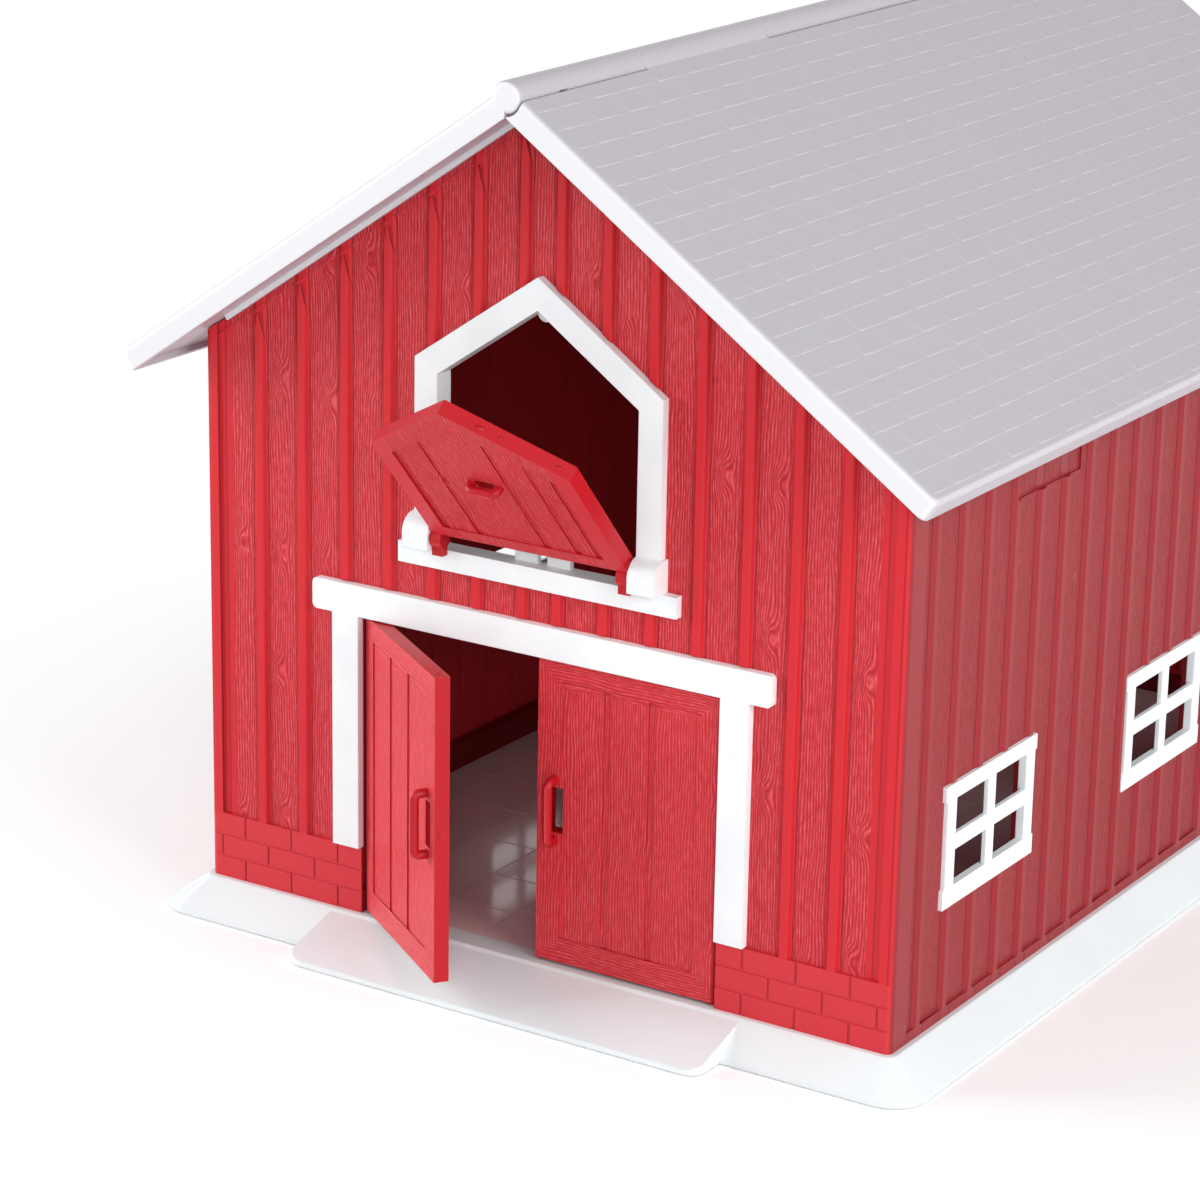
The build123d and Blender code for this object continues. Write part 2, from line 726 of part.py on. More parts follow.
# ---------------------------------------------------------------- front doors
def grip(plane, length, reach, radius, start):
    """Solid of a D-shaped pull; the plane's X points out of the door and its Y along the grip."""
    with BuildPart() as pull:
        with BuildLine(plane) as centre_line:
            end = length / 2 - radius
            out = reach - radius
            FilletPolyline((start, -end), (out, -end), (out, end), (start, end), radius=handle_bend)
        with BuildSketch(Plane(origin=centre_line.line @ 0, z_dir=centre_line.line % 0)):
            Circle(radius)
        sweep()
    return pull.part


def door_leaf(side, opened):
    """One planked leaf with its pivot pins, hung at its outer edge and turned out by opened degrees."""
    face = leaf_thick / 2
    hinge_stile = -side * (leaf_stile - face)
    free_stile = -side * (leaf_reach - leaf_stile)
    handle_u = -side * (leaf_reach - handle_edge_distance)
    handle_z = base_height + handle_height
    panel_low = leaf_bottom + leaf_bottom_rail
    panel_high = leaf_top - leaf_top_rail
    with BuildPart() as leaf:
        # slab with a round hinge edge
        with BuildSketch(Plane.XY.offset(leaf_bottom)):
            turned = door_plane(side, opened, 0)
            away = turned.x_dir * (-side * leaf_reach)
            with Locations((turned.origin.X, turned.origin.Y)):
                Circle(face)
            with Locations(Location(turned.origin + away / 2, (0, 0, side * opened))):
                Rectangle(leaf_reach, leaf_thick)
        extrude(amount=leaf_top - leaf_bottom)
        # sunk panels outside and inside
        with BuildSketch(door_plane(side, opened, face)):
            block(hinge_stile, panel_low, free_stile, panel_high)
        extrude(amount=-panel_sink, mode=Mode.SUBTRACT)
        with BuildSketch(door_plane(side, opened, -face)):
            block(hinge_stile, panel_low, free_stile, panel_high)
        extrude(amount=panel_back_sink, mode=Mode.SUBTRACT)
        # grooves between the planks
        plank = (free_stile - hinge_stile) / leaf_planks
        with BuildSketch(door_plane(side, opened, face - panel_sink)):
            for index in range(1, leaf_planks):
                joint = hinge_stile + index * plank
                block(joint - groove_width / 2, panel_low, joint + groove_width / 2, panel_high)
        extrude(amount=-groove_depth, mode=Mode.SUBTRACT)
        # finger slot behind the grip
        with BuildSketch(door_plane(side, opened, -face)):
            with Locations((handle_u, handle_z)):
                Rectangle(handle_slot_width, handle_slot_length)
        extrude(amount=leaf_thick, mode=Mode.SUBTRACT)
        at_handle = door_plane(side, opened, 0).from_local_coords((handle_u, handle_z, 0))
        outward = door_plane(side, opened, 0).z_dir
        grip_plane = Plane(origin=at_handle, x_dir=outward, z_dir=outward.cross(Vector(0, 0, 1)))
        add(grip(grip_plane, handle_length, face + handle_reach, handle_bar_radius, 0))
        # catch bead on the free edge
        free_edge = door_plane(side, opened, 0).from_local_coords(
            (-side * leaf_reach, base_height + catch_bead_height, 0)
        )
        with BuildSketch(Plane(origin=free_edge, x_dir=(0, 0, 1), z_dir=turned.x_dir * -side)):
            Circle(catch_bead_radius)
        extrude(amount=catch_bead_proud)
        # pivot pins
        pivot = [(turned.origin.X, turned.origin.Y)]
        with BuildSketch(Plane.XY.offset(base_height - door_pin_length)) as lower_pin:
            with Locations(pivot):
                Circle(door_pin_radius)
        extrude(amount=leaf_floor_gap + door_pin_length)
        with BuildSketch(Plane.XY.offset(leaf_top)):
            with Locations(pivot):
                Circle(door_pin_radius)
        extrude(amount=leaf_gap + door_pin_length - seat_gap)
    return leaf


left_door = door_leaf(-1, left_leaf_open)
right_door = door_leaf(1, 0)

# ---------------------------------------------------------------- hayloft door
with BuildPart() as hayloft_door:
    door_low = hay_pivot_z + hay_door_base
    # gabled slab, with a panel sunk inside its frame
    with BuildSketch(hay_plane(-hay_door_thick)):
        hay_outline(-hay_door_gap, door_low)
    extrude(amount=hay_door_thick)
    with BuildSketch(hay_plane(0)):
        hay_outline(-hay_door_gap - hay_stile, door_low + hay_bottom_rail)
    extrude(amount=-panel_sink, mode=Mode.SUBTRACT)
    with BuildSketch(hay_plane(-hay_door_thick)):
        hay_outline(-hay_door_gap - hay_stile, door_low + hay_bottom_rail)
    extrude(amount=panel_back_sink, mode=Mode.SUBTRACT)
    # grooves between the planks, up to the frame
    with BuildSketch(hay_plane(-panel_sink)):
        panel_apex = hay_clear_top - (hay_door_gap + hay_stile) / cos(slope)
        for place in hay_grooves:
            cut = groove_width / 2
            groove_top = panel_apex - (abs(place) + cut) * tan(slope)
            block(place - cut, door_low + hay_bottom_rail, place + cut, groove_top)
    extrude(amount=-groove_depth, mode=Mode.SUBTRACT)
    # slot behind the grip
    with BuildSketch(hay_plane(-hay_door_thick)):
        with Locations((0, hay_pivot_z + hay_handle_height)):
            Rectangle(hay_slot_length, hay_slot_height)
    extrude(amount=hay_door_thick, mode=Mode.SUBTRACT)
    hay_grip_place = hay_plane(0).from_local_coords((0, hay_pivot_z + hay_handle_height, 0))
    hay_grip_plane = Plane(origin=hay_grip_place, x_dir=hay_plane(0).z_dir, z_dir=hay_plane(0).y_dir)
    add(grip(hay_grip_plane, hay_handle_length, hay_handle_reach, handle_bar_radius, -hay_door_thick / 2))
    # knuckles under the bottom corners, their webs, and pins into the frame's ears
    knuckle_outer = hay_clear_half_width - seat_gap
    for side in (-1, 1):
        with BuildSketch(Plane.YZ.offset(side * knuckle_outer)):
            with Locations((pivot_y, hay_pivot_z)):
                Circle(hay_knuckle_radius)
            with Locations(Location((pivot_y, hay_pivot_z, 0), (0, 0, hay_door_open))):
                web_high = hay_door_base + hay_bottom_rail / 2
                block(0, 0, hay_knuckle_radius, web_high)
        extrude(amount=-side * hay_knuckle_width)
        # heel that meets the sill's front when the door leans fully out
        with BuildSketch(Plane.YZ.offset(side * knuckle_outer)):
            heel_half = hay_pivot_reach - hay_frame_proud - sleeve_gap
            block(pivot_y - heel_half, hay_pivot_z - hay_heel_reach, pivot_y + heel_half, hay_pivot_z)
        extrude(amount=-side * hay_knuckle_width)
        with BuildSketch(Plane.YZ.offset(side * knuckle_outer)):
            with Locations((pivot_y, hay_pivot_z)):
                Circle(hay_pin_radius)
        extrude(amount=side * hay_pin_length)
    # tongue at the middle of the bottom edge
    with BuildSketch(hay_plane(-hay_door_thick)):
        block(-tongue_width / 2, door_low - tongue_length, tongue_width / 2, door_low + hay_bottom_rail)
    extrude(amount=tongue_thick)

# ---------------------------------------------------------------- roof leaves and their rod
knuckle_ends = [
    -roof_half_length,
    knuckle_end_length - roof_half_length,
    knuckle_end_length + knuckle_next_length - roof_half_length,
    roof_half_length - knuckle_end_length - knuckle_next_length,
    roof_half_length - knuckle_end_length,
    roof_half_length,
]
knuckle_spans = list(zip(knuckle_ends, knuckle_ends[1:]))


def mitre_run(below_axis):
    """Run down the slope at which a line below the axis clears the upright plane of the ridge."""
    return (knuckle_gap / 2 + below_axis * sin(slope)) / cos(slope)


def knuckle(side, start, end):
    """A length of the barrel, with its rim rounded where it ends at a gable."""
    with BuildPart() as barrel:
        with BuildSketch(roof_plane(side, (start + end) / 2)):
            Circle(barrel_radius)
        extrude(amount=(end - start) / 2, both=True)
        if start == -roof_half_length:
            fillet(barrel.faces().sort_by(Axis.Y)[0].edges(), barrel_round)
        if end == roof_half_length:
            fillet(barrel.faces().sort_by(Axis.Y)[-1].edges(), barrel_round)
    return barrel.part


def roof_leaf(side, own_spans, other_spans):
    """One leaf: plate, fascia lips, locating ribs, ribbed underside and its share of the barrel."""
    lip_low = -fascia_bottom
    plate_low = -roof_below_axis
    with BuildPart() as leaf:
        with BuildSketch(roof_plane(side, 0)):
            block(0, plate_low, roof_run, roof_above_axis)
            block(roof_run - fascia_thick, lip_low, roof_run, roof_above_axis)
        extrude(amount=roof_half_length, both=True)
        # fascia lips at the two ends, mitred at the ridge
        for end in (-1, 1):
            middle = end * (roof_half_length - fascia_thick / 2)
            with BuildSketch(roof_plane(side, middle)):
                Polygon(
                    (mitre_run(0), 0), (mitre_run(fascia_bottom), lip_low), (roof_run, lip_low),
                    (roof_run, 0), align=None,
                )
            extrude(amount=fascia_thick / 2, both=True)
            # rib that locates the leaf just outside the gable's boards
            rib_inner = half_length - relief + knuckle_gap
            with BuildSketch(roof_plane(side, end * (rib_inner + rib_thick / 2))):
                block(rib_start, lip_low, (half_width - wall_inner - rib_back_off) / cos(slope), 0)
            extrude(amount=rib_thick / 2, both=True)
        # rounded corners at the eave, and a rounded upper rim all but along the ridge
        outward = Axis((0, 0, 0), roof_plane(side, 0).y_dir)
        uprights = leaf.edges().filter_by(outward)
        fillet(uprights.sort_by(lambda edge: abs(edge.center().X))[-2:], eave_round)
        upper = leaf.faces().sort_by(outward)[-1]
        fillet(upper.edges().sort_by(lambda edge: abs(edge.center().X))[1:], rim_round)
        # bays in the underside
        bay_length = 2 * (half_length - wall_inner - roof_bay_margin) / roof_bays
        bay_end = (half_width - wall_inner - roof_bay_margin) / cos(slope)
        for place in pitched(roof_bays, bay_length):
            with BuildSketch(roof_plane(side, place)):
                block(roof_bay_start, plate_low, bay_end, roof_above_axis - roof_skin)
            extrude(amount=(bay_length - roof_bay_rib) / 2, both=True, mode=Mode.SUBTRACT)
        # own share of the barrel, and room for the other leaf's
        for start, end in own_spans:
            add(knuckle(side, start, end))
        for start, end in other_spans:
            with BuildSketch(roof_plane(side, (start + end) / 2)):
                Circle(barrel_radius + barrel_gap)
            extrude(amount=(end - start + knuckle_gap) / 2, both=True, mode=Mode.SUBTRACT)
        bore_start = barrel_cap - roof_half_length
        with BuildSketch(roof_plane(side, (bore_start + roof_half_length) / 2)):
            Circle(rod_radius + running_gap)
        extrude(amount=(roof_half_length - bore_start) / 2, both=True, mode=Mode.SUBTRACT)
    return leaf


with BuildPart() as roof_left:
    add(roof_leaf(-1, knuckle_spans[0::2], knuckle_spans[1::2]).part)
    # the end knuckles are only caps over the rings that carry the rod
    for end in (-1, 1):
        zone = (wall_thick + 2 * knuckle_gap) / 2
        ring_y = end * (half_length - relief - wall_thick / 2)
        with BuildSketch(Plane(origin=(0, ring_y, ridge_z), x_dir=(1, 0, 0), z_dir=(0, -1, 0))):
            Circle(saddle_radius + knuckle_gap)
            edge = radians(cap_edge_angle)
            far = 2 * barrel_radius
            clear = saddle_radius + barrel_gap
            Polygon(
                (0, 0), (-clear, 0), (-clear, -far), (far, -far), (far * cos(edge), far * sin(edge)),
                align=None,
            )
        extrude(amount=zone, both=True, mode=Mode.SUBTRACT)

roof_right = roof_leaf(1, knuckle_spans[1::2], knuckle_spans[0::2])

with BuildPart() as ridge_rod:
    rod_front = barrel_cap + seat_gap - roof_half_length
    rod_back = roof_half_length - rod_end_inset
    rod_middle = (0, (rod_front + rod_back) / 2, ridge_z)
    with BuildSketch(Plane(origin=rod_middle, x_dir=(1, 0, 0), z_dir=(0, -1, 0))):
        Circle(rod_radius)
    extrude(amount=(rod_back - rod_front) / 2, both=True)

# ---------------------------------------------------------------- finished pieces
pieces = {
    "base_tray": base_tray,
    "base_screws": base_screws,
    "front_wall": front_wall,
    "rear_wall": rear_wall,
    "left_wall": left_wall,
    "right_wall": right_wall,
    "door_surround": door_surround,
    "hayloft_frame": hayloft_frame,
    "hayloft_door": hayloft_door,
    "left_door": left_door,
    "right_door": right_door,
    "roof_left": roof_left,
    "roof_right": roof_right,
    "ridge_rod": ridge_rod,
    **side_windows,
}
os.makedirs("parts", exist_ok=True)
for name, piece in pieces.items():
    piece.part.label = name
    export_step(piece.part, f"parts/{name}.step")
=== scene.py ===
# %% [markdown]
# # A toy barn with opening doors
# The barn is an injection-moulded toy: red walls with board-and-batten relief, white snap-in
# trims, a pale tray to stand on and two roof leaves that swing up on a rod in the ridge.
# The shapes come from the CAD frame, which is loaded here and never changed. What is added is
# what a mould maker would engrave or polish afterwards: shingles, wood grain, gloss and wear.
# Everything is in metres, in the frame's own axes: the doors face -Y and +Z is up.

# %% Load the frame
import math

import bmesh
import bpy
from mathutils import Matrix, Vector


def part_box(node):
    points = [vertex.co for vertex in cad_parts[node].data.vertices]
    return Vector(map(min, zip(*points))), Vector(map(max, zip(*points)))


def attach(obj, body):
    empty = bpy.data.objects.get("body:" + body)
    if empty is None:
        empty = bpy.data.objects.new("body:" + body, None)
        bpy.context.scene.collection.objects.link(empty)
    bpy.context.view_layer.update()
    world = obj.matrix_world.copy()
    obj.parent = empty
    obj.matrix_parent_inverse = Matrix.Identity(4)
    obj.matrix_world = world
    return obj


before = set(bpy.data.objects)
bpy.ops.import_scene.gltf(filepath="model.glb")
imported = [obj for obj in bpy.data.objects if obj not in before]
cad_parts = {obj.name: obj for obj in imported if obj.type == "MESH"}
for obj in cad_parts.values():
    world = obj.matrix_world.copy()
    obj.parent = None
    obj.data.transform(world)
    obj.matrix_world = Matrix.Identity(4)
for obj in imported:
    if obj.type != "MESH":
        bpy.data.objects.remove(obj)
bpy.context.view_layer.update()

# %% [markdown]
# ## Lengths and colours
# Moulded toys are drawn in millimetres and their colours are picked on a screen, so two
# small helpers turn both into what Blender wants: metres, and linear light. Doing it in one
# place means that every later number can be read as a real size or a real paint swatch.

# %% Lengths and colours
full_level = 255
toe_end = 0.04045
toe_slope = 12.92
curve_shift = 0.055
curve_power = 2.4


def mm(length):
    """A length in millimetres, as metres."""
    return length / 1000


def swatch(red, green, blue):
    """A screen colour from 0 to 255, as the linear colour that a shader takes."""
    linear = []
    for level in (red, green, blue):
        part = level / full_level
        curved = ((part + curve_shift) / (1 + curve_shift)) ** curve_power
        linear.append(part / toe_slope if part <= toe_end else curved)
    return (*linear, 1.0)


sample_grey = 128
sample_linear = swatch(sample_grey, sample_grey, sample_grey)[0]
print("a screen grey of", sample_grey, "is", round(sample_linear, 3), "in linear light")

# %% [markdown]
# ## Sums with nodes
# Node trees written out link by link are hard to read. The helper below keeps one material's
# tree and adds a node a line, so that a recipe reads from top to bottom like plain arithmetic.
# A mask is a number from 0 to 1 here, and the points that two masks share are their product.

# %% Sums with nodes
class NodeSums:
    """A shader and its node tree, with arithmetic on numbers that vary over the part."""

    def __init__(self, name, roughness, specular=0.5):
        self.material = bpy.data.materials.new(name)
        self.material.use_nodes = True
        self.tree = self.material.node_tree
        self.shader = self.tree.nodes["Principled BSDF"]
        self.shader.inputs["Roughness"].default_value = roughness
        self.shader.inputs["Specular IOR Level"].default_value = specular

    def add(self, kind, inputs=None, **settings):
        """A node of a kind, with its settings and its inputs, which are values or sockets."""
        node = self.tree.nodes.new(kind)
        for name, value in settings.items():
            setattr(node, name, value)
        for key, value in (inputs or {}).items():
            if isinstance(value, bpy.types.NodeSocket):
                self.tree.links.new(value, node.inputs[key])
            else:
                node.inputs[key].default_value = value
        return node

    def sum(self, operation, first, second=0.0):
        """One step of arithmetic."""
        return self.add("ShaderNodeMath", {0: first, 1: second}, operation=operation).outputs[0]

    def plus(self, first, second):
        """Two values added."""
        return self.sum("ADD", first, second)

    def minus(self, first, second):
        """The second value taken from the first."""
        return self.sum("SUBTRACT", first, second)

    def times(self, first, second):
        """Two values multiplied."""
        return self.sum("MULTIPLY", first, second)

    def over(self, first, second):
        """The first value divided by the second."""
        return self.sum("DIVIDE", first, second)

    def size(self, value):
        """A value without its sign."""
        return self.sum("ABSOLUTE", value)

    def every(self, *masks):
        """One where all masks are one."""
        whole = masks[0]
        for mask in masks[1:]:
            whole = self.times(whole, mask)
        return whole

    def fade(self, value, low, high, start=0.0, end=1.0):
        """A smooth change from start to end while a value goes from low to high."""
        inputs = {"Value": value, "From Min": low, "From Max": high, "To Min": start, "To Max": end}
        node = self.add("ShaderNodeMapRange", inputs, interpolation_type="SMOOTHSTEP")
        return node.outputs["Result"]


print("sums can now be written with nodes")

# %% [markdown]
# ## Places, patterns and relief
# A moulded finish depends on where on the part a point is: grain on the boards, gloss on the
# edges. A recipe takes the place on the part, makes a pattern from it, and sends that to colour,
# roughness and bump. The place could come from an unwrapped image map, but the frame's parts
# all share one origin, so Object coordinates do it without one: a pattern has a true size in
# millimetres, and it stays on a door or a roof leaf when that swings. The way that a face looks
# is read in the same coordinates, so that a sloping side can differ from a flat.

# %% Places, patterns and relief
bevel_samples = 4
flat_match = 0.998
edge_match = 0.90


class Recipe(NodeSums):
    """One moulded material, with the places and patterns that it is made from."""

    def turned(self, vector, turn, axis):
        """A vector turned about one axis, as the parts of X, Y and Z."""
        angles = [0.0, 0.0, 0.0]
        angles[axis] = turn
        inputs = {"Vector": vector, "Rotation": angles}
        node = self.add("ShaderNodeVectorRotate", inputs, rotation_type="EULER_XYZ")
        return self.add("ShaderNodeSeparateXYZ", {0: node.outputs[0]}).outputs

    def place(self, turn=0.0, pivot=(0, 0, 0), axis=2):
        """The place on the part in millimetres, turned about a pivot for a part that is swung."""
        point = self.add("ShaderNodeTexCoord").outputs["Object"]
        ends = {0: point, 1: pivot}
        near = self.add("ShaderNodeVectorMath", ends, operation="SUBTRACT").outputs[0]
        scale = {0: near, "Scale": 1 / mm(1)}
        grown = self.add("ShaderNodeVectorMath", scale, operation="SCALE").outputs[0]
        return self.turned(grown, turn, axis)

    def facing(self, turn=0.0, axis=2):
        """The way that the face looks, turned in the same manner as the place."""
        return self.turned(self.add("ShaderNodeTexCoord").outputs["Normal"], turn, axis)

    def point(self, across, along, depth=0.0):
        """A point for a pattern to be read at."""
        return self.add("ShaderNodeCombineXYZ", {0: across, 1: along, 2: depth}).outputs[0]

    def noise(self, point, scale, detail=2.0, roughness=0.5):
        """Soft random variation from 0 to 1."""
        inputs = {"Vector": point, "Scale": scale, "Detail": detail, "Roughness": roughness}
        return self.add("ShaderNodeTexNoise", inputs).outputs[0]

    def blend(self, amount, first, second):
        """Two colours mixed by an amount from 0 to 1."""
        node = self.add("ShaderNodeMix", data_type="RGBA")
        for name, value in {"Factor": amount, "A": first, "B": second}.items():
            socket = next(s for s in node.inputs if s.name == name and s.enabled)
            if isinstance(value, bpy.types.NodeSocket):
                self.tree.links.new(value, socket)
            else:
                socket.default_value = value
        return next(s for s in node.outputs if s.enabled)

    def edges(self, radius):
        """The surface with softened edges, and how near an edge each point is."""
        inputs = {"Radius": mm(radius)}
        soft = self.add("ShaderNodeBevel", inputs, samples=bevel_samples).outputs[0]
        flat = self.add("ShaderNodeNewGeometry").outputs["Normal"]
        both = self.add("ShaderNodeVectorMath", {0: soft, 1: flat}, operation="DOT_PRODUCT")
        return soft, self.fade(both.outputs["Value"], flat_match, edge_match)

    def send(self, name, value):
        """Joins a value to one of the shader's sockets."""
        self.tree.links.new(value, self.shader.inputs[name])

    def bump(self, height, normal):
        """Relief whose height is in millimetres, on top of a surface direction."""
        inputs = {"Height": height, "Distance": mm(1), "Strength": 1.0, "Normal": normal}
        self.send("Normal", self.add("ShaderNodeBump", inputs).outputs[0])


print("recipes can now be written")

# %% [markdown]
# ## The grain that is cut into the mould
# The boards of such a toy carry a carved wood grain: fine lines along the board that bend round
# knots in rings. An image could show it, but a pattern of nodes stays sharp at any distance.
# Grain lines are contour lines. A count that rises across the board gives straight lines, some
# slow noise added to it makes them wander, and a smooth hill added at a knot's centre closes
# them into rings. A sine of that count is the relief, and streaks of fine noise break it up.

# %% The grain of one board
grain_pitch = 0.9
drift_across = 0.12
drift_along = 0.03
knot_spacing = 44.0
knot_size = 2.5
knot_stretch = 1.9
knot_rings = 3.2
knot_chance = 0.68
knot_spread = 5.0
line_share = 0.24
streak_across = 1.9
streak_along = 0.3
streak_detail = 3.0
streak_roughness = 0.6
knot_scatter = 0.8
board_apart = 7.31


def board_grain(recipe, across, along, number, centre, wander=4.0):
    """Relief of wood grain from 0 to 1, along a board with its own number and its own centre."""
    seed = recipe.times(number, board_apart)
    drift = recipe.point(recipe.times(across, drift_across), recipe.times(along, drift_along), seed)
    slow = recipe.noise(drift, 1.0)
    # the nearest knot: how far it is from this point, and whether this one was cut at all
    row = recipe.point(seed, recipe.over(along, knot_spacing))
    scatter = {"Vector": row, "Scale": 1.0, "Randomness": knot_scatter}
    knots = recipe.add("ShaderNodeTexVoronoi", scatter, voronoi_dimensions="2D", feature="F1")
    middle = recipe.add("ShaderNodeSeparateXYZ", {0: knots.outputs["Position"]}).outputs[1]
    chance = recipe.add("ShaderNodeSeparateXYZ", {0: knots.outputs["Color"]}).outputs
    aside = recipe.plus(centre, recipe.times(recipe.minus(chance[0], 0.5), knot_spread))
    from_side = recipe.over(recipe.minus(across, aside), knot_size)
    from_end = recipe.minus(along, recipe.times(middle, knot_spacing))
    from_end = recipe.over(from_end, knot_size * knot_stretch)
    apart = recipe.plus(recipe.times(from_side, from_side), recipe.times(from_end, from_end))
    hill = recipe.sum("EXPONENT", recipe.times(apart, -1.0))
    cut = recipe.sum("GREATER_THAN", chance[1], knot_chance)
    rings = recipe.times(recipe.times(hill, cut), knot_rings)
    # contour lines of all three together
    count = recipe.plus(recipe.over(across, grain_pitch), rings)
    count = recipe.plus(count, recipe.times(slow, wander))
    lines = recipe.sum("SINE", recipe.times(count, 2 * math.pi))
    streak = recipe.point(recipe.times(across, streak_across), recipe.times(along, streak_along),
                          seed)
    streaks = recipe.noise(streak, 1.0, streak_detail, streak_roughness)
    return recipe.plus(recipe.times(lines, line_share), streaks)


print("grain lines every", grain_pitch, "mm")

# %% [markdown]
# ## Red plastic
# Every red piece is one styrene, moulded in colour, but it is polished in some places and
# carved in others. Carved faces scatter the light, so they look a little pink and hazy.
# Polished ones, such as the sloping sides of the battens and the edges of a door, show the
# deepest red. On carved faces the grain valleys get painted shade and the grain ridges a pink
# painted highlight, and every edge gets a painted highlight. A single function gives carved and
# polished red from a mask, so that walls and doors match: what changes between them is where
# the grain runs and how deep it is cut.

# %% Red plastic
red_polished = swatch(204, 34, 44)
# painted shade for the grain valleys, and painted highlights for the grain ridges and the edges
red_valley_shade = swatch(138, 8, 20)
red_ridge_highlight = swatch(232, 130, 134)
red_edge_highlight = swatch(226, 72, 78)
red_gloss = 0.3
red_smooth = 0.30
red_rough = 0.40
carved_rougher = 0.12
arris = 0.2
noise_low = 0.3
noise_high = 0.7
pit_scale = 1.1
pit_detail = 3.0
pit_roughness = 0.7
pit_depth = 0.02
patch_scale = 0.03
patch_share = 0.16
valley_from = 0.54
valley_full = 0.2
ridge_from = 0.58
ridge_full = 0.9
valley_shade_share = 0.62
ridge_highlight_share = 0.42
edge_highlight_share = 0.5
foot_shade_share = 0.55
foot_depth = 0.1


def finish_red(recipe, spots, grain, carved, matt, depth, contrast, face, polished,
               hollow_shade=red_valley_shade, foot=0.0, fall=0.0):
    """Gives red plastic its relief, colour and gloss, with painted shade and highlights, from its
    grain, carved and matt places.
    """
    pits = recipe.noise(recipe.point(*spots), pit_scale, pit_detail, pit_roughness)
    soft, edge = recipe.edges(arris)
    relief = recipe.times(recipe.times(grain, carved), depth)
    relief = recipe.minus(relief, recipe.plus(recipe.times(foot, foot_depth), fall))
    recipe.bump(recipe.plus(relief, recipe.times(pits, pit_depth)), soft)
    slow = recipe.noise(recipe.point(*spots), patch_scale, pit_detail)
    patch = recipe.fade(slow, noise_low, noise_high, 0.0, patch_share)
    base = recipe.blend(matt, polished, face)
    base = recipe.blend(patch, base, polished)
    # painted shade in the grain valleys, and a painted highlight on the grain ridges
    valley = recipe.every(recipe.fade(grain, valley_from, valley_full), carved)
    base = recipe.blend(recipe.times(valley, valley_shade_share * contrast), base, hollow_shade)
    ridge = recipe.every(recipe.fade(grain, ridge_from, ridge_full), carved)
    base = recipe.blend(recipe.times(ridge, ridge_highlight_share * contrast), base, red_ridge_highlight)
    # a painted highlight along every edge
    base = recipe.blend(recipe.times(edge, edge_highlight_share), base, red_edge_highlight)
    # painted shade along the foot of each batten
    base = recipe.blend(recipe.times(foot, foot_shade_share), base, hollow_shade)
    recipe.send("Base Color", base)
    rough = recipe.fade(pits, noise_low, noise_high, red_smooth, red_rough)
    recipe.send("Roughness", recipe.plus(rough, recipe.times(carved, carved_rougher)))


print("red plastic has a gloss level of", red_gloss)

# %% [markdown]
# ## Boards and battens
# Each wall of the toy is one moulding of flat boards with a thin batten over each joint. The
# battens are in the frame, but a mould gives them more: a fine valley along their foot and
# shoulders that are a little round. Modelled, those would take a great many faces for a few
# tenths of a millimetre. Here they are masks instead, worked out from how far a point is from
# the nearest batten, and the bump and the colour are made from them; the darker colour along
# each foot is painted shade. Indoors the walls are plain, and the flange along their foot gets
# painted shade.

# %% Boards and battens
batten_half = 2.3
foot_near = 0.05
foot_run = 0.25
foot_end = 0.8
foot_fade = 0.5
shoulder_run = 1.1
shoulder_fall = 0.5
board_fade_in = 0.3
board_fade_out = 0.2
slope_facing = 0.90
flat_facing = 0.97
# painted shade for the flange inside, along the foot of each wall
flange_shade_red = swatch(112, 10, 18)
flange_top = 17.6


def from_batten(recipe, phase, pitch):
    """How far a point is from the nearest batten, for a place counted in battens."""
    return recipe.times(recipe.size(recipe.minus(phase, recipe.sum("ROUND", phase))), pitch)


def batten_foot(recipe, distance):
    """The fine line along the foot of a batten, where the mould is cut a little deeper and painted
    shade darkens it.
    """
    start = batten_half + foot_near
    end = batten_half + foot_end
    rise = recipe.fade(distance, start - foot_run, start)
    return recipe.times(rise, recipe.fade(distance, end, end - foot_fade))


def batten_shoulder(recipe, distance):
    """How far the rounded shoulders of a batten fall away from its flat."""
    return recipe.fade(distance, batten_half - shoulder_run, batten_half, 0.0, shoulder_fall)


def board_mask(recipe, distance):
    """One on the boards, zero on the battens between them."""
    return recipe.fade(distance, batten_half - board_fade_in, batten_half + board_fade_out)


def flat_face(recipe, facing):
    """One on faces that look straight along an axis, zero on slopes and edges."""
    return recipe.fade(recipe.size(facing), slope_facing, flat_facing)


def shaded_flange(recipe, height, indoors, colour):
    """A colour, but with painted shade on the flange that runs along the foot of a wall indoors."""
    flange = recipe.every(indoors, recipe.sum("LESS_THAN", height, flange_top))
    return recipe.blend(flange, colour, flange_shade_red)


def inside(recipe, place, facing):
    """One on faces that look towards the middle of the barn."""
    return recipe.sum("LESS_THAN", recipe.times(place, facing), 0.0)


def either(recipe, *masks):
    """One where any mask is one."""
    whole = masks[0]
    for mask in masks[1:]:
        whole = recipe.sum("MAXIMUM", whole, mask)
    return whole


print("a batten's foot is", 2 * batten_half, "mm wide")

# %% [markdown]
# ## The gables
# A gable's boards are laid out from the middle to both sides, so its recipe first finds the
# board that a point is on from its place across the wall. The board's number then picks its
# grain, so that neighbours never look alike. On the toy the grain is only on the flats of the
# boards outdoors: it stops at the battens, at the smooth corner posts and at the bricks of the
# plinth. Separate materials would need the mesh to be cut up there, and masks leave it whole.

# %% The gables
wall_roughness = 0.42
half_width = 115.0
corner_post = 9.0
corner_facing = 0.55
corner_turned = 0.9
plinth_top = 29.5
gable_first = 5.9
gable_pitch = 15.0
gable_face = swatch(204, 48, 57)
gable_cut = 0.18
gable_contrast = 1.0
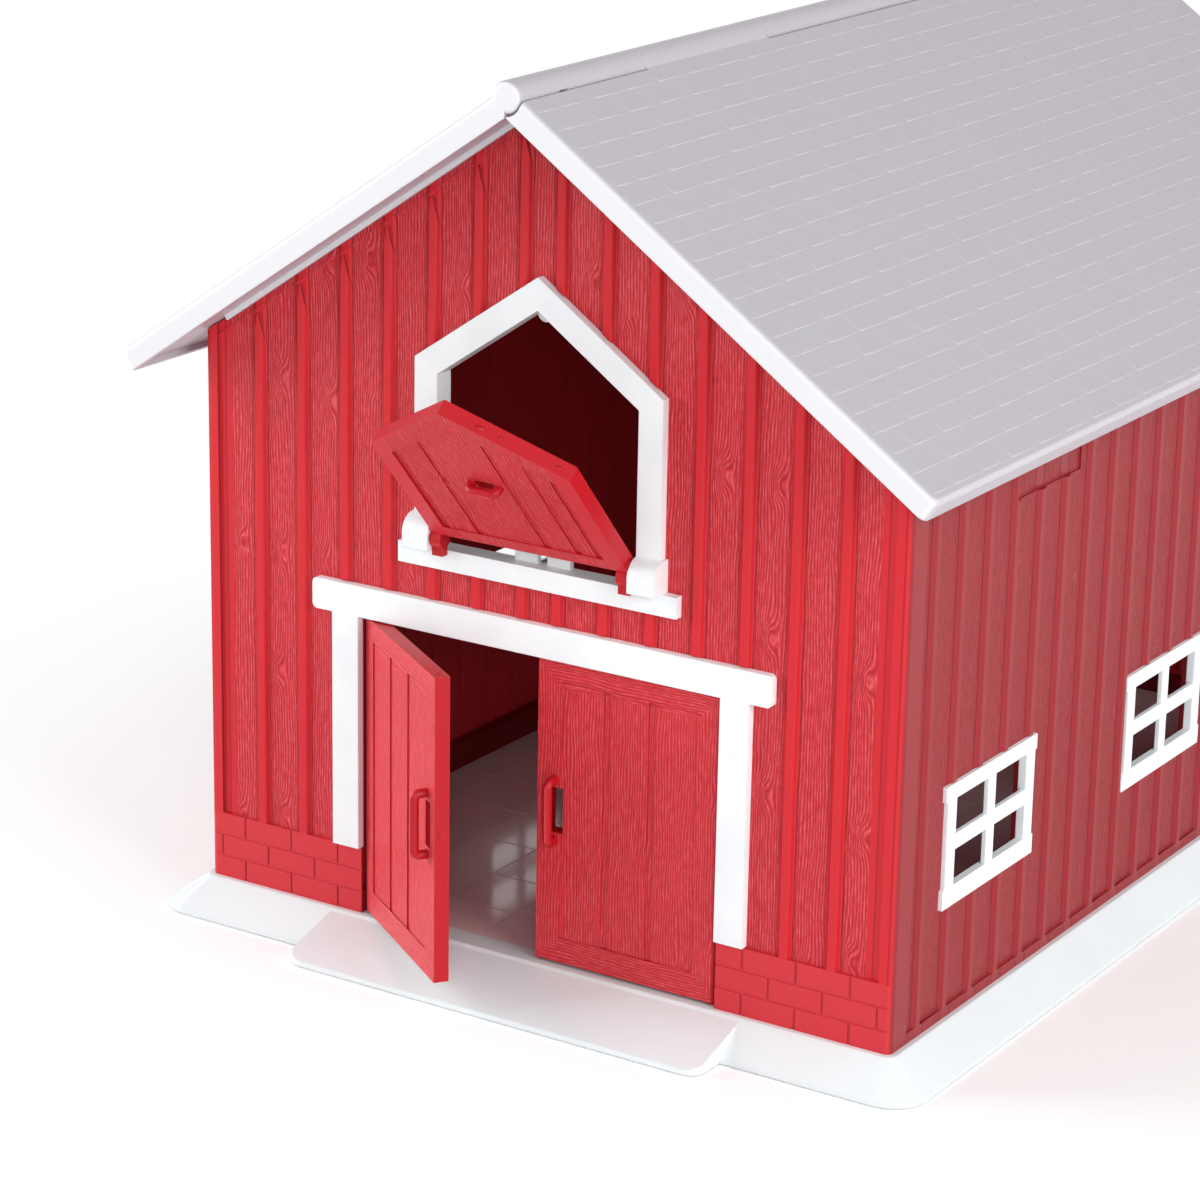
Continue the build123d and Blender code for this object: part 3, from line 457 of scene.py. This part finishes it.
# the long walls' outdoor red, painted darker as painted shade
side_shaded_face = swatch(143, 36, 41)
side_shaded_polished = swatch(146, 37, 43)
gable = Recipe("gable_red", wall_roughness, red_gloss)
spots = gable.place()
looks = gable.facing()
aside = gable.size(spots[0])
hand = gable.sum("SIGN", spots[0])
phase = gable.over(gable.minus(aside, gable_first), gable_pitch)
step = gable.plus(gable.sum("FLOOR", phase), 1.0)
centre = gable.plus(gable.times(gable.minus(step, 0.5), gable_pitch), gable_first)
centre = gable.every(centre, hand, gable.sum("MINIMUM", step, 1.0))
grain = board_grain(gable, spots[0], spots[2], gable.times(hand, step), centre)
distance = from_batten(gable, phase, gable_pitch)
on_board = board_mask(gable, distance)
off_corner = gable.sum("LESS_THAN", aside, half_width - corner_post)
bricks = gable.sum("LESS_THAN", spots[2], plinth_top)
indoors = inside(gable, spots[1], looks[1])
outdoors = gable.minus(1.0, either(gable, bricks, indoors))
carved = gable.every(on_board, off_corner, flat_face(gable, looks[1]), outdoors)
matt = either(gable, carved, bricks, indoors)
# the corner posts wrap round to the long walls, and get the same painted shade as they do there
sideways_shade = gable.fade(gable.size(looks[0]), corner_facing, corner_turned)
polished = gable.blend(sideways_shade, red_polished, side_shaded_polished)
face = gable.blend(sideways_shade, gable_face, side_shaded_face)
polished = shaded_flange(gable, spots[2], indoors, polished)
face = shaded_flange(gable, spots[2], indoors, face)
# where the groove and the painted shade along each batten's foot go
foot = gable.every(batten_foot(gable, distance), on_board, outdoors, flat_face(gable, looks[1]))
fall = gable.every(batten_shoulder(gable, distance), off_corner, outdoors)
finish_red(gable, spots, grain, carved, matt, gable_cut, gable_contrast, face, polished,
           red_valley_shade, foot, fall)
print("material", gable.material.name, "has grain cut", gable_cut, "mm deep")

# %% [markdown]
# ## The long walls
# The long walls are moulded like the gables, but their grain is fainter. Outdoors their red is
# painted darker and browner, as painted shade; indoors it is the gables' red. Their boards are
# counted from the front end. One recipe for all four walls would have to ask at every step which
# wall it is on, so the long walls have their own, written with the same helpers.

# %% The long walls
half_length = 163.0
side_first = -147.3
side_pitch = 15.24
# painted shade for the grain valleys and batten feet of the long walls
side_hollow_shade = swatch(92, 8, 15)
side_cut = 0.06
side_contrast = 0.4
side = Recipe("side_red", wall_roughness, red_gloss)
spots = side.place()
looks = side.facing()
phase = side.over(side.minus(spots[1], side_first), side_pitch)
step = side.sum("FLOOR", phase)
centre = side.plus(side.times(side.plus(step, 0.5), side_pitch), side_first)
grain = board_grain(side, spots[1], spots[2], step, centre)
distance = from_batten(side, phase, side_pitch)
on_board = board_mask(side, distance)
off_corner = side.sum("LESS_THAN", side.size(spots[1]), half_length - corner_post)
indoors = inside(side, spots[0], looks[0])
carved = side.every(on_board, off_corner, flat_face(side, looks[0]), side.minus(1.0, indoors))
matt = either(side, carved, indoors)
# where the groove and the painted shade along each batten's foot go
foot = side.every(batten_foot(side, distance), carved)
# indoors the long walls are the same red as the gables; outdoors their red is painted shade
face = shaded_flange(side, spots[2], indoors, side.blend(indoors, side_shaded_face, gable_face))
polished = side.blend(indoors, side_shaded_polished, red_polished)
polished = shaded_flange(side, spots[2], indoors, polished)
finish_red(side, spots, grain, carved, matt, side_cut, side_contrast, face, polished,
           side_hollow_shade, foot)
print("material", side.material.name, "has grain cut", side_cut, "mm deep")

# %% [markdown]
# ## The front doors
# A door is moulded flat, so its grain follows the leaf, not the room: upright on the planks and
# stiles, level on the two rails, and cut at 45 degrees where they meet, as a joiner would mitre
# them. The left door stands open in the frame, and so the place on the part is first turned
# back about its hinge. Whichever edge is nearest then decides which way the grain runs.

# %% The front doors
door_stile = 7.8
door_planks = 3
door_face = swatch(208, 50, 59)
door_polished = swatch(175, 17, 27)
door_cut = 0.13
door_contrast = 0.8
door_wander = 4.6
door_roughness = 0.4
rail_number = 17.0
door_open = math.radians(35)
door_hinge_x = 57.5
door_hinge_y = -160.2
door_low = 10.4
door_high = 100.1
door_reach = 57.1
door_heel = 2.2


def front_door(name, side_sign, turn):
    """Grain for one front door, in the leaf's own width and height."""
    recipe = Recipe(name, door_roughness, red_gloss)
    spots = recipe.place(turn, (mm(side_sign * door_hinge_x), mm(door_hinge_y), 0))
    looks = recipe.facing(turn)
    width = recipe.times(spots[0], -side_sign)
    height = spots[2]
    near_side = recipe.sum("MINIMUM", recipe.plus(width, door_heel),
                           recipe.minus(door_reach, width))
    near_end = recipe.sum("MINIMUM", recipe.minus(height, door_low),
                          recipe.minus(door_high, height))
    rail = recipe.times(recipe.sum("LESS_THAN", near_end, near_side),
                        recipe.sum("LESS_THAN", near_end, door_stile))
    across = recipe.plus(width, recipe.times(rail, recipe.minus(height, width)))
    along = recipe.plus(height, recipe.times(rail, recipe.minus(width, height)))
    plank = (door_reach + door_heel - 2 * door_stile) / door_planks
    first = door_stile - door_heel
    board = recipe.sum("FLOOR", recipe.over(recipe.minus(across, first), plank))
    centre = recipe.plus(recipe.times(recipe.plus(board, 0.5), plank), first)
    number = recipe.plus(board, recipe.times(rail, rail_number))
    grain = board_grain(recipe, across, along, number, centre, door_wander)
    flat = flat_face(recipe, looks[1])
    finish_red(recipe, spots, grain, flat, flat, door_cut, door_contrast, door_face, door_polished)
    return recipe.material


left_door_red = front_door("left_door_red", -1, door_open)
right_door_red = front_door("right_door_red", 1, 0.0)
print("materials", left_door_red.name, right_door_red.name)

# %% [markdown]
# ## The hayloft door
# This door is a pointed slab whose planks all stand upright, with only a faint grain on the
# frame round them. It hangs open, tipped about its two lower corners. A pattern laid out for
# the tipped leaf would be hard to read, and so its place is turned back as well, this time
# about X, and the planks are counted across as if it were shut.

# %% The hayloft door
hay_open = math.radians(42)
hay_pivot = (0, mm(-166.2), mm(129.5))
hay_plank = 11.0
hay_face = swatch(209, 42, 52)
hay_polished = swatch(178, 14, 28)
hay_cut = 0.14
hay_contrast = 0.9
hay_frame_start = 25.6
hay_frame_fade = 1.4
hay_frame_grain = 0.25
hay = Recipe("hay_door_red", door_roughness, red_gloss)
spots = hay.place(-hay_open, hay_pivot, 0)
looks = hay.facing(-hay_open, 0)
board = hay.sum("FLOOR", hay.over(spots[0], hay_plank))
centre = hay.times(hay.plus(board, 0.5), hay_plank)
grain = board_grain(hay, spots[0], spots[2], board, centre)
inner = hay.fade(hay.size(spots[0]), hay_frame_start + hay_frame_fade, hay_frame_start,
                 hay_frame_grain, 1.0)
flat = flat_face(hay, looks[1])
finish_red(hay, spots, grain, hay.every(inner, flat), flat, hay_cut, hay_contrast, hay_face,
           hay_polished)
print("material", hay.material.name)

# %% [markdown]
# ## White trims
# The windows, the surround and the hayloft frame are a harder white plastic, trimmed by hand
# from their sprues. They are matt to satin, with a faint sawn grain, and their edges are nicked
# here and there by the knife. The nicks are fine noise kept to the edges, a touch greyer than
# the flats. The relief is kept low, or the white would go dirty.

# %% White trims
trim_roughness = 0.38
# a white tinted a little blue, to offset the red light that the walls throw on the trims
trim_white = swatch(238, 243, 245)
trim_worn = swatch(233, 238, 241)
trim_nicked = swatch(196, 188, 194)
trim_gloss = 0.25
trim_smooth = 0.32
trim_rough = 0.46
saw_scale = 0.8
saw_detail = 4.0
saw_roughness = 0.65
saw_depth = 0.06
wear_scale = 0.06
trim_round = 0.4
nick_from = 0.5
nick_full = 0.66
nick_share = 0.6
trim = Recipe("trim_white", trim_roughness, trim_gloss)
spots = trim.place()
saw = trim.noise(trim.point(*spots), saw_scale, saw_detail, saw_roughness)
wear = trim.noise(trim.point(*spots), wear_scale)
soft, edge = trim.edges(trim_round)
trim.bump(trim.times(saw, saw_depth), soft)
base = trim.blend(trim.fade(wear, noise_low, noise_high), trim_white, trim_worn)
nicks = trim.every(edge, trim.fade(saw, nick_from, nick_full))
trim.send("Base Color", trim.blend(trim.times(nicks, nick_share), base, trim_nicked))
trim.send("Roughness", trim.fade(saw, noise_low, noise_high, trim_smooth, trim_rough))
print("material", trim.material.name)

# %% [markdown]
# ## The pale tray
# The tray that the barn stands on is polished in the mould, so its floor mirrors the windows
# like a tiled stable floor. Gloss is roughness: a low value with slow drifts, which show where
# it has been handled. The colour is a white tinted a little blue, to offset the red light that
# the walls throw on it. Inside the walls it is given a warm tint, which is painted red light.

# %% The pale tray
tray_roughness = 0.16
# tinted a little blue to offset the red light that the walls throw on the tray
tray_pale = swatch(227, 236, 238)
tray_greyer = swatch(223, 231, 234)
tray_rim = swatch(232, 239, 241)
rim_share = 0.3
tray_round = 0.8
touch_scale = 0.02
touch_detail = 3.0
tray_glossy = 0.05
tray_handled = 0.10
mould_scale = 0.35
mould_roughness = 0.6
mould_depth = 0.012
mould_rougher = 0.04
stable_half_width = 110.0
stable_half_length = 158.0
stable_fade = 2.0
# painted red light on the floor inside the walls
stable_floor_red_light = swatch(233, 200, 202)
tray = Recipe("tray_white", tray_roughness)
spots = tray.place()
touch = tray.noise(tray.point(*spots), touch_scale, touch_detail)
mould = tray.noise(tray.point(*spots), mould_scale, touch_detail, mould_roughness)
soft, edge = tray.edges(tray_round)
tray.bump(tray.times(mould, mould_depth), soft)
base = tray.blend(tray.fade(touch, noise_low, noise_high), tray_pale, tray_greyer)
base = tray.blend(tray.times(edge, rim_share), base, tray_rim)
in_width = tray.fade(tray.size(spots[0]), stable_half_width, stable_half_width - stable_fade)
in_length = tray.fade(tray.size(spots[1]), stable_half_length, stable_half_length - stable_fade)
# painted red light inside the walls
tray.send("Base Color", tray.blend(tray.every(in_width, in_length), base, stable_floor_red_light))
handled = tray.fade(touch, noise_low, noise_high, tray_glossy, tray_handled)
tray.send("Roughness", tray.plus(handled, tray.times(mould, mould_rougher)))
print("material", tray.material.name)

# %% [markdown]
# ## The lilac-grey roof
# The two leaves are the same plastic as the tray with more grey in it, and a satin skin. The
# recipe paints light on the rims: a face turns whiter as it looks out over a gable or an eave.
# The steps between shingles and the softened edges get a painted highlight, and the barrel
# along the ridge painted shade. Shingles and leaf differ in how far the edges are softened,
# because a wide softening would wipe out a small shingle, and in how much painted highlight
# their steps and edges get.

# %% The lilac-grey roof
roof_slope = math.radians(34.5)
barrel_radius = 4.7
roof_roughness = 0.36
roof_blue = swatch(178, 174, 181)
roof_pink = swatch(180, 173, 180)
# painted highlight for the steps between shingles
roof_step_highlight = swatch(193, 189, 197)
# painted shade for the barrel along the ridge
roof_barrel_shade = swatch(178, 173, 180)
roof_rim_lit = swatch(223, 223, 227)
# painted highlight for the softened edges
roof_edge_highlight = swatch(226, 224, 229)
roof_gloss = 0.4
roof_smooth = 0.32
roof_rough = 0.44
drift_scale = 0.035
drift_low = 0.35
drift_high = 0.65
skin_scale = 0.9
skin_detail = 3.0
skin_roughness = 0.6
skin_depth = 0.012
slope_level = 0.985
step_level = 0.94
rim_from = 0.5
rim_full = 0.85
roof_edge_highlight_share = 0.3
leaf_softened = 0.6
shingle_softened = 0.08
shingle_highlight_share = 0.3


def roof_grey(name, softened, highlight_share):
    """Satin grey for the roof, with painted light on the rims, painted shade on the barrel and, by
    a share, painted highlights on its steps and edges.
    """
    recipe = Recipe(name, roof_roughness, roof_gloss)
    spots = recipe.place()
    looks = recipe.facing()
    slow = recipe.noise(recipe.point(*spots), drift_scale, skin_detail)
    fine = recipe.noise(recipe.point(*spots), skin_scale, skin_detail, skin_roughness)
    soft, edge = recipe.edges(softened)
    recipe.bump(recipe.times(fine, skin_depth), soft)
    base = recipe.blend(recipe.fade(slow, drift_low, drift_high), roof_blue, roof_pink)
    # the steps between shingles are the faces that tip away from the slope; they get a painted
    # highlight
    slope_x = recipe.times(recipe.size(looks[0]), math.sin(roof_slope))
    level = recipe.plus(slope_x, recipe.times(looks[2], math.cos(roof_slope)))
    base = recipe.blend(recipe.fade(level, slope_level, step_level, 0.0, highlight_share), base, roof_step_highlight)
    # painted shade on the barrel along the ridge
    barrel_shade_mask = recipe.sum("LESS_THAN", recipe.size(spots[0]), barrel_radius)
    base = recipe.blend(barrel_shade_mask, base, roof_barrel_shade)
    # painted light on the rims, on faces that look out over a gable or an eave
    rim = recipe.fade(recipe.size(looks[1]), rim_from, rim_full)
    base = recipe.blend(rim, base, roof_rim_lit)
    # a painted highlight along the softened edges
    base = recipe.blend(recipe.times(edge, roof_edge_highlight_share * highlight_share), base, roof_edge_highlight)
    recipe.send("Base Color", base)
    recipe.send("Roughness", recipe.fade(fine, noise_low, noise_high, roof_smooth, roof_rough))
    return recipe.material


roof_leaf_grey = roof_grey("roof_grey", leaf_softened, 1.0)
shingle_grey = roof_grey("shingle_grey", shingle_softened, shingle_highlight_share)
print("materials", roof_leaf_grey.name, shingle_grey.name)

# %% [markdown]
# ## Steel
# The ridge rod and the screws under the tray are plain steel. Drawn wire is scratched along its
# length, and so the noise for its roughness is stretched along Y.

# %% Steel
steel_roughness = 0.3
steel_light = swatch(196, 196, 200)
steel_dark = swatch(168, 168, 174)
steel_smooth = 0.22
steel_rough = 0.4
scratches_across = 4.0
scratches_along = 0.15
scratch_detail = 3.0
scratch_roughness = 0.6
scratch_depth = 0.01
wire_round = 0.1
steel = Recipe("drawn_steel", steel_roughness)
steel.shader.inputs["Metallic"].default_value = 1.0
spots = steel.place()
drawn = steel.point(steel.times(spots[0], scratches_across), steel.times(spots[1], scratches_along),
                    steel.times(spots[2], scratches_across))
scratches = steel.noise(drawn, 1.0, scratch_detail, scratch_roughness)
steel.send("Base Color", steel.blend(scratches, steel_light, steel_dark))
steel.send("Roughness", steel.fade(scratches, noise_low, noise_high, steel_smooth, steel_rough))
steel.bump(steel.times(scratches, scratch_depth), steel.edges(wire_round)[0])
print("material", steel.material.name)

# %% [markdown]
# ## Dressing the frame
# Each node of the frame keeps its mesh and gets the finish of its real piece. A dictionary says
# which, and the windows share one line because all six are the same snap-in moulding.

# %% Dressing the frame
finishes = {
    "front_wall": gable.material, "rear_wall": gable.material,
    "left_wall": side.material, "right_wall": side.material,
    "left_door": left_door_red, "right_door": right_door_red, "hayloft_door": hay.material,
    "door_surround": trim.material, "hayloft_frame": trim.material, "base_tray": tray.material,
    "roof_left": roof_leaf_grey, "roof_right": roof_leaf_grey,
    "ridge_rod": steel.material, "base_screws": steel.material,
}
for name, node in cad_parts.items():
    finish = trim.material if name.startswith("window_") else finishes[name]
    node.data.materials.clear()
    node.data.materials.append(finish)
    print(name, "is finished in", finish.name)

# %% [markdown]
# ## One shingle
# The roof leaves are engraved with shingles a fifth of a millimetre deep. They are too shallow
# for the frame, but they catch the light, and bump alone would lose their crisp steps from the
# side, so they are real faces. Each shingle is a thin wedge: level with the leaf at its upper
# end, proud at its lower one, and a hair higher at the end towards the doors, so that its two
# steps show as fine bright lines, made brighter by a painted highlight on the steps.

# %% One shingle
rod_low, rod_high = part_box("ridge_rod")
ridge = (rod_low + rod_high) / 2
roof_face = 2.4
field_half = 179.2
butt_run = 0.38
end_step = 0.16
end_run = 0.4
field_rise = 2.4
skin = 0.012
buried = 0.25


def roof_point(side_sign, down, along, out):
    """A place on a leaf: down its slope from the ridge, along the ridge, and out of its face."""
    x = side_sign * (down * math.cos(roof_slope) + out * math.sin(roof_slope))
    z = -down * math.sin(roof_slope) + out * math.cos(roof_slope)
    return Vector((mm(x), mm(along), ridge.z + mm(z)))


def add_shingle(mesh, side_sign, top, low, start, end, butt):
    """One wedge-shaped shingle."""
    profile = [(top, skin), (low - butt_run, butt), (low, skin)]
    stations = [(start, end_step), (start + end_run, 0.0), (end, end_step)]
    if start == -field_half:
        stations[:2] = [(start, butt), (start + field_rise, 0.0)]
    rings = []
    for along, drop in stations:
        share = drop / butt
        ring = [roof_point(side_sign, down, along, roof_face + max(height * (1 - share), skin))
                for down, height in profile]
        ring.append(roof_point(side_sign, low, along, roof_face - buried))
        ring.append(roof_point(side_sign, top, along, roof_face - buried))
        rings.append([mesh.verts.new(spot) for spot in ring])
    for left, right in zip(rings, rings[1:]):
        for index in range(len(left)):
            after = (index + 1) % len(left)
            mesh.faces.new((left[index], left[after], right[after], right[index]))
    mesh.faces.new(rings[0][::-1])
    mesh.faces.new(rings[-1])


print("the roof turns about a ridge at a height of", round(ridge.z, 4), "m")

# %% [markdown]
# ## The fields of shingles
# Each leaf has twenty rows and part of one more beside the ridge. Every other row is moved on by
# half a shingle, and the end ones are cut off short of the leaf's rounded rim. Hundreds of loose
# objects would be slow to handle, and an array couldn't cut its ends to fit, so two loops write
# them all into one mesh per leaf, which rides on that leaf. A seeded random thickness keeps the
# rows from looking printed.

# %% The fields of shingles
import random

barrel_side = 5.7
first_row = 9.5
row_pitch = 7.28
row_count = 20
shingle_width = 15.95
shingle_starts = (-160.0, -168.0)
shortest = 1.0
butt_height = 0.21
butt_spread = 0.015


def shingle_field(name, side_sign, body):
    """All the shingles of one leaf, as one piece that swings with it."""
    chance = random.Random(name)
    mesh = bmesh.new()
    for row in range(-1, row_count):
        joint = shingle_starts[row % 2]
        low = first_row + (row + 1) * row_pitch
        top = max(low - row_pitch, barrel_side)
        first = math.floor((-field_half - joint) / shingle_width)
        last = math.ceil((field_half - joint) / shingle_width)
        for step in range(first, last):
            start = max(joint + step * shingle_width, -field_half)
            end = min(joint + (step + 1) * shingle_width, field_half)
            butt = butt_height + chance.uniform(-butt_spread, butt_spread)
            if end - start > shortest:
                add_shingle(mesh, side_sign, top, low, start, end, butt)
    bmesh.ops.recalc_face_normals(mesh, faces=mesh.faces)
    data = bpy.data.meshes.new(name)
    mesh.to_mesh(data)
    mesh.free()
    data.materials.append(shingle_grey)
    piece = bpy.data.objects.new(name, data)
    bpy.context.collection.objects.link(piece)
    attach(piece, body)
    print(name, "has", len(data.polygons), "faces")


shingle_field("left_shingles", -1, "left_roof")
shingle_field("right_shingles", 1, "right_roof")

# %% [markdown]
# ## Gate marks
# Where a door was snapped from its sprue, small torn stubs are left on its edge: three along the
# slanting top of the hayloft door, and two at the free corner of the left front door. They are no
# bigger than a grain of rice, but they catch the light and say how the piece was made. Each is
# a low dome pulled out of round by seeded noise. They are laid out on the shut door and then
# turned with it, so that their places can be read off the leaf.

# %% Gate marks
stub_rounds = 3
hay_stub_height = 0.45
door_stub_height = 0.22
stub_torn = 0.16
hay_apex_z = 197.3
hay_leaf_y = -164.3


def swung(turn, pivot, axis):
    """The move that takes a shut leaf to how it stands in the frame."""
    pivot = Vector(pivot)
    back = Matrix.Translation(-pivot)
    return Matrix.Translation(pivot) @ Matrix.Rotation(turn, 4, axis) @ back


def gate_marks(name, stubs, height, move, tilt, body, finish):
    """Torn stubs on a leaf's edge, each given as its place, length and width in millimetres."""
    chance = random.Random(name)
    mesh = bmesh.new()
    for place, length, width in stubs:
        centre = Vector([mm(part) for part in place])
        half = Vector((mm(length) / 2, mm(width) / 2, mm(height)))
        for vert in bmesh.ops.create_icosphere(mesh, subdivisions=stub_rounds, radius=1.0)["verts"]:
            pull = 1 + chance.uniform(-stub_torn, stub_torn)
            local = Vector([part * size * pull for part, size in zip(vert.co, half)])
            vert.co = move @ (centre + Matrix.Rotation(tilt, 3, "Y") @ local)
    data = bpy.data.meshes.new(name)
    mesh.to_mesh(data)
    mesh.free()
    data.shade_smooth()
    data.materials.append(finish)
    piece = bpy.data.objects.new(name, data)
    bpy.context.collection.objects.link(piece)
    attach(piece, body)
    print(name, "has", len(stubs), "stubs")


hay_stubs = []
for across, length, width in ((9.6, 3.0, 1.3), (14.6, 1.6, 1.2), (28.6, 2.2, 1.2)):
    edge_z = hay_apex_z - across * math.tan(roof_slope)
    hay_stubs.append(((across, hay_leaf_y, edge_z), length, width))
gate_marks("hay_gate_marks", hay_stubs, hay_stub_height, swung(hay_open, hay_pivot, "X"),
           roof_slope, "loft_leaf", hay.material)
left_hinge = (mm(-door_hinge_x), mm(door_hinge_y), 0)
# they are low, because the shut door passes close under the lintel
left_stubs = [((-4.6, door_hinge_y, door_high), 2.6, 1.4),
              ((-9.4, door_hinge_y - 0.8, door_high), 1.8, 1.0)]
gate_marks("left_gate_marks", left_stubs, door_stub_height, swung(-door_open, left_hinge, "Z"),
           0.0, "left_leaf", left_door_red)

# %% [markdown]
# ## The sky
# The barn is shown on plain white. A white world would give that, but as much light would come
# from it that the reds would wash out. So the sky tells rays apart with Light Path: it is white
# to the camera and to anything glossy, and for the light that falls on the barn it is only a
# soft fill.

# %% The sky
fill_level = 0.42


def seen_directly(tree):
    """One for rays that reach the eye straight, off gloss or through glass, otherwise zero."""
    path = tree.nodes.new("ShaderNodeLightPath")
    found = path.outputs["Is Camera Ray"]
    for kind in ("Is Glossy Ray", "Is Transmission Ray"):
        joined = tree.nodes.new("ShaderNodeMath")
        joined.operation = "MAXIMUM"
        tree.links.new(found, joined.inputs[0])
        tree.links.new(path.outputs[kind], joined.inputs[1])
        found = joined.outputs[0]
    return found


world = bpy.data.worlds.new("white_room")
world.use_nodes = True
bpy.context.scene.world = world
sky = world.node_tree.nodes["Background"]
sky.inputs["Color"].default_value = (1, 1, 1, 1)
level = world.node_tree.nodes.new("ShaderNodeMapRange")
level.inputs["To Min"].default_value = fill_level
level.inputs["To Max"].default_value = 1.0
world.node_tree.links.new(seen_directly(world.node_tree), level.inputs["Value"])
world.node_tree.links.new(level.outputs[0], sky.inputs["Strength"])
print("the sky is white, and lights the barn at a level of", fill_level)

# %% [markdown]
# ## The floor
# The barn stands on a white sweep. Near the barn the floor keeps its diffuse shader, so that the
# contact shadow stays, with a little extra for the camera alone. Further out it turns into the
# same plain white as the sky, so that no horizon shows. A curved backdrop would hide the
# horizon too, but only from the front.

# %% The floor
floor_lift = 0.2
floor_white = 0.87
floor_roughness = 0.9
floor_half = 4.0
floor_drop = 0.0003
shadow_reach = 0.20
white_from = 0.36
floor_mesh = bpy.data.meshes.new("floor")
corners = [(-floor_half, -floor_half), (floor_half, -floor_half), (floor_half, floor_half),
           (-floor_half, floor_half)]
floor_mesh.from_pydata([(x, y, -floor_drop) for x, y in corners], [], [(0, 1, 2, 3)])
floor = bpy.data.objects.new("floor", floor_mesh)
bpy.context.collection.objects.link(floor)

paper = Recipe("white_sweep", floor_roughness, 0.0)
paper.shader.inputs["Base Color"].default_value = (floor_white, floor_white, floor_white, 1)
paper.shader.inputs["Emission Color"].default_value = (1, 1, 1, 1)
direct = seen_directly(paper.tree)
paper.send("Emission Strength", paper.times(direct, floor_lift))
here = paper.add("ShaderNodeTexCoord").outputs["Object"]
away = paper.add("ShaderNodeVectorMath", {0: here}, operation="LENGTH").outputs["Value"]
plain = paper.add("ShaderNodeEmission", {"Color": (1, 1, 1, 1), "Strength": 1.0}).outputs[0]
far = paper.times(direct, paper.fade(away, shadow_reach, white_from))
sweep = paper.add("ShaderNodeMixShader", {0: far, 1: paper.shader.outputs[0], 2: plain}).outputs[0]
paper.tree.links.new(sweep, paper.tree.nodes["Material Output"].inputs["Surface"])
floor_mesh.materials.append(paper.material)
print("the floor is", 2 * floor_half, "m wide, and plain white from", white_from, "m on")

# %% [markdown]
# ## Studio light
# Three large soft boxes light the barn. The strongest stands to the left of the front, so an
# opened door facing it is the brightest red. One to the right keeps the long wall, its windows
# and the roof's right leaf nearly as light as the gable, and a faint one straight ahead reaches
# in through the openings. A lamp's power is worked out from the level it should give on a face
# turned straight to it, where a level of one shows a colour as it is written.

# %% Studio light
box_distance = 1.6
barn_centre = Vector((0, 0, 0.13))
soft_boxes = {
    "left_box": ((-0.90, -0.36, 0.27), 1.1, 0.93),
    "right_box": ((0.90, -0.28, 0.33), 1.1, 0.74),
    "front_box": ((0.46, -0.84, 0.29), 0.5, 0.20),
}

for name, (direction, width, strength) in soft_boxes.items():
    towards = Vector(direction).normalized()
    data = bpy.data.lights.new(name, "AREA")
    data.shape = "SQUARE"
    data.size = width
    data.energy = strength * math.pi ** 2 * box_distance ** 2
    lamp = bpy.data.objects.new(name, data)
    bpy.context.collection.objects.link(lamp)
    lamp.location = barn_centre + towards * box_distance
    lamp.rotation_mode = "QUATERNION"
    lamp.rotation_quaternion = towards.to_track_quat("Z", "Y")
    stand = tuple(round(part, 2) for part in lamp.location)
    print(name, "gives", round(data.energy, 1), "watts from", stand)

# %% [markdown]
# ## Camera
# The camera stands to the right of the doors and a little above the ridge, with a long lens
# from over a metre away. Its place and three turns are plain numbers: the heading, the tip
# down, and a slight roll, from which its axes are built one after another.

# %% Camera
camera_place = Vector((0.55812, -1.00917, 0.44096))
heading = math.radians(32.4352)
tip = math.radians(-17.7384)
roll = math.radians(1.0347)
lens = 116.07
sensor_width = 36.0

level_run = math.cos(tip)
ahead = Vector((-math.sin(heading) * level_run, math.cos(heading) * level_run, math.sin(tip)))
right = Vector((math.cos(heading), math.sin(heading), 0))
up = right.cross(ahead)
camera_x = math.cos(roll) * right + math.sin(roll) * up
camera_y = math.cos(roll) * up - math.sin(roll) * right
camera_data = bpy.data.cameras.new("camera")
camera_data.lens = lens
camera_data.sensor_width = sensor_width
camera = bpy.data.objects.new("camera", camera_data)
bpy.context.collection.objects.link(camera)
axes = Matrix((camera_x, camera_y, -ahead)).transposed()
camera.matrix_world = Matrix.Translation(camera_place) @ axes.to_4x4()
bpy.context.scene.camera = camera
bpy.context.scene.view_settings.view_transform = "Standard"
print("camera set with a", lens, "mm lens")
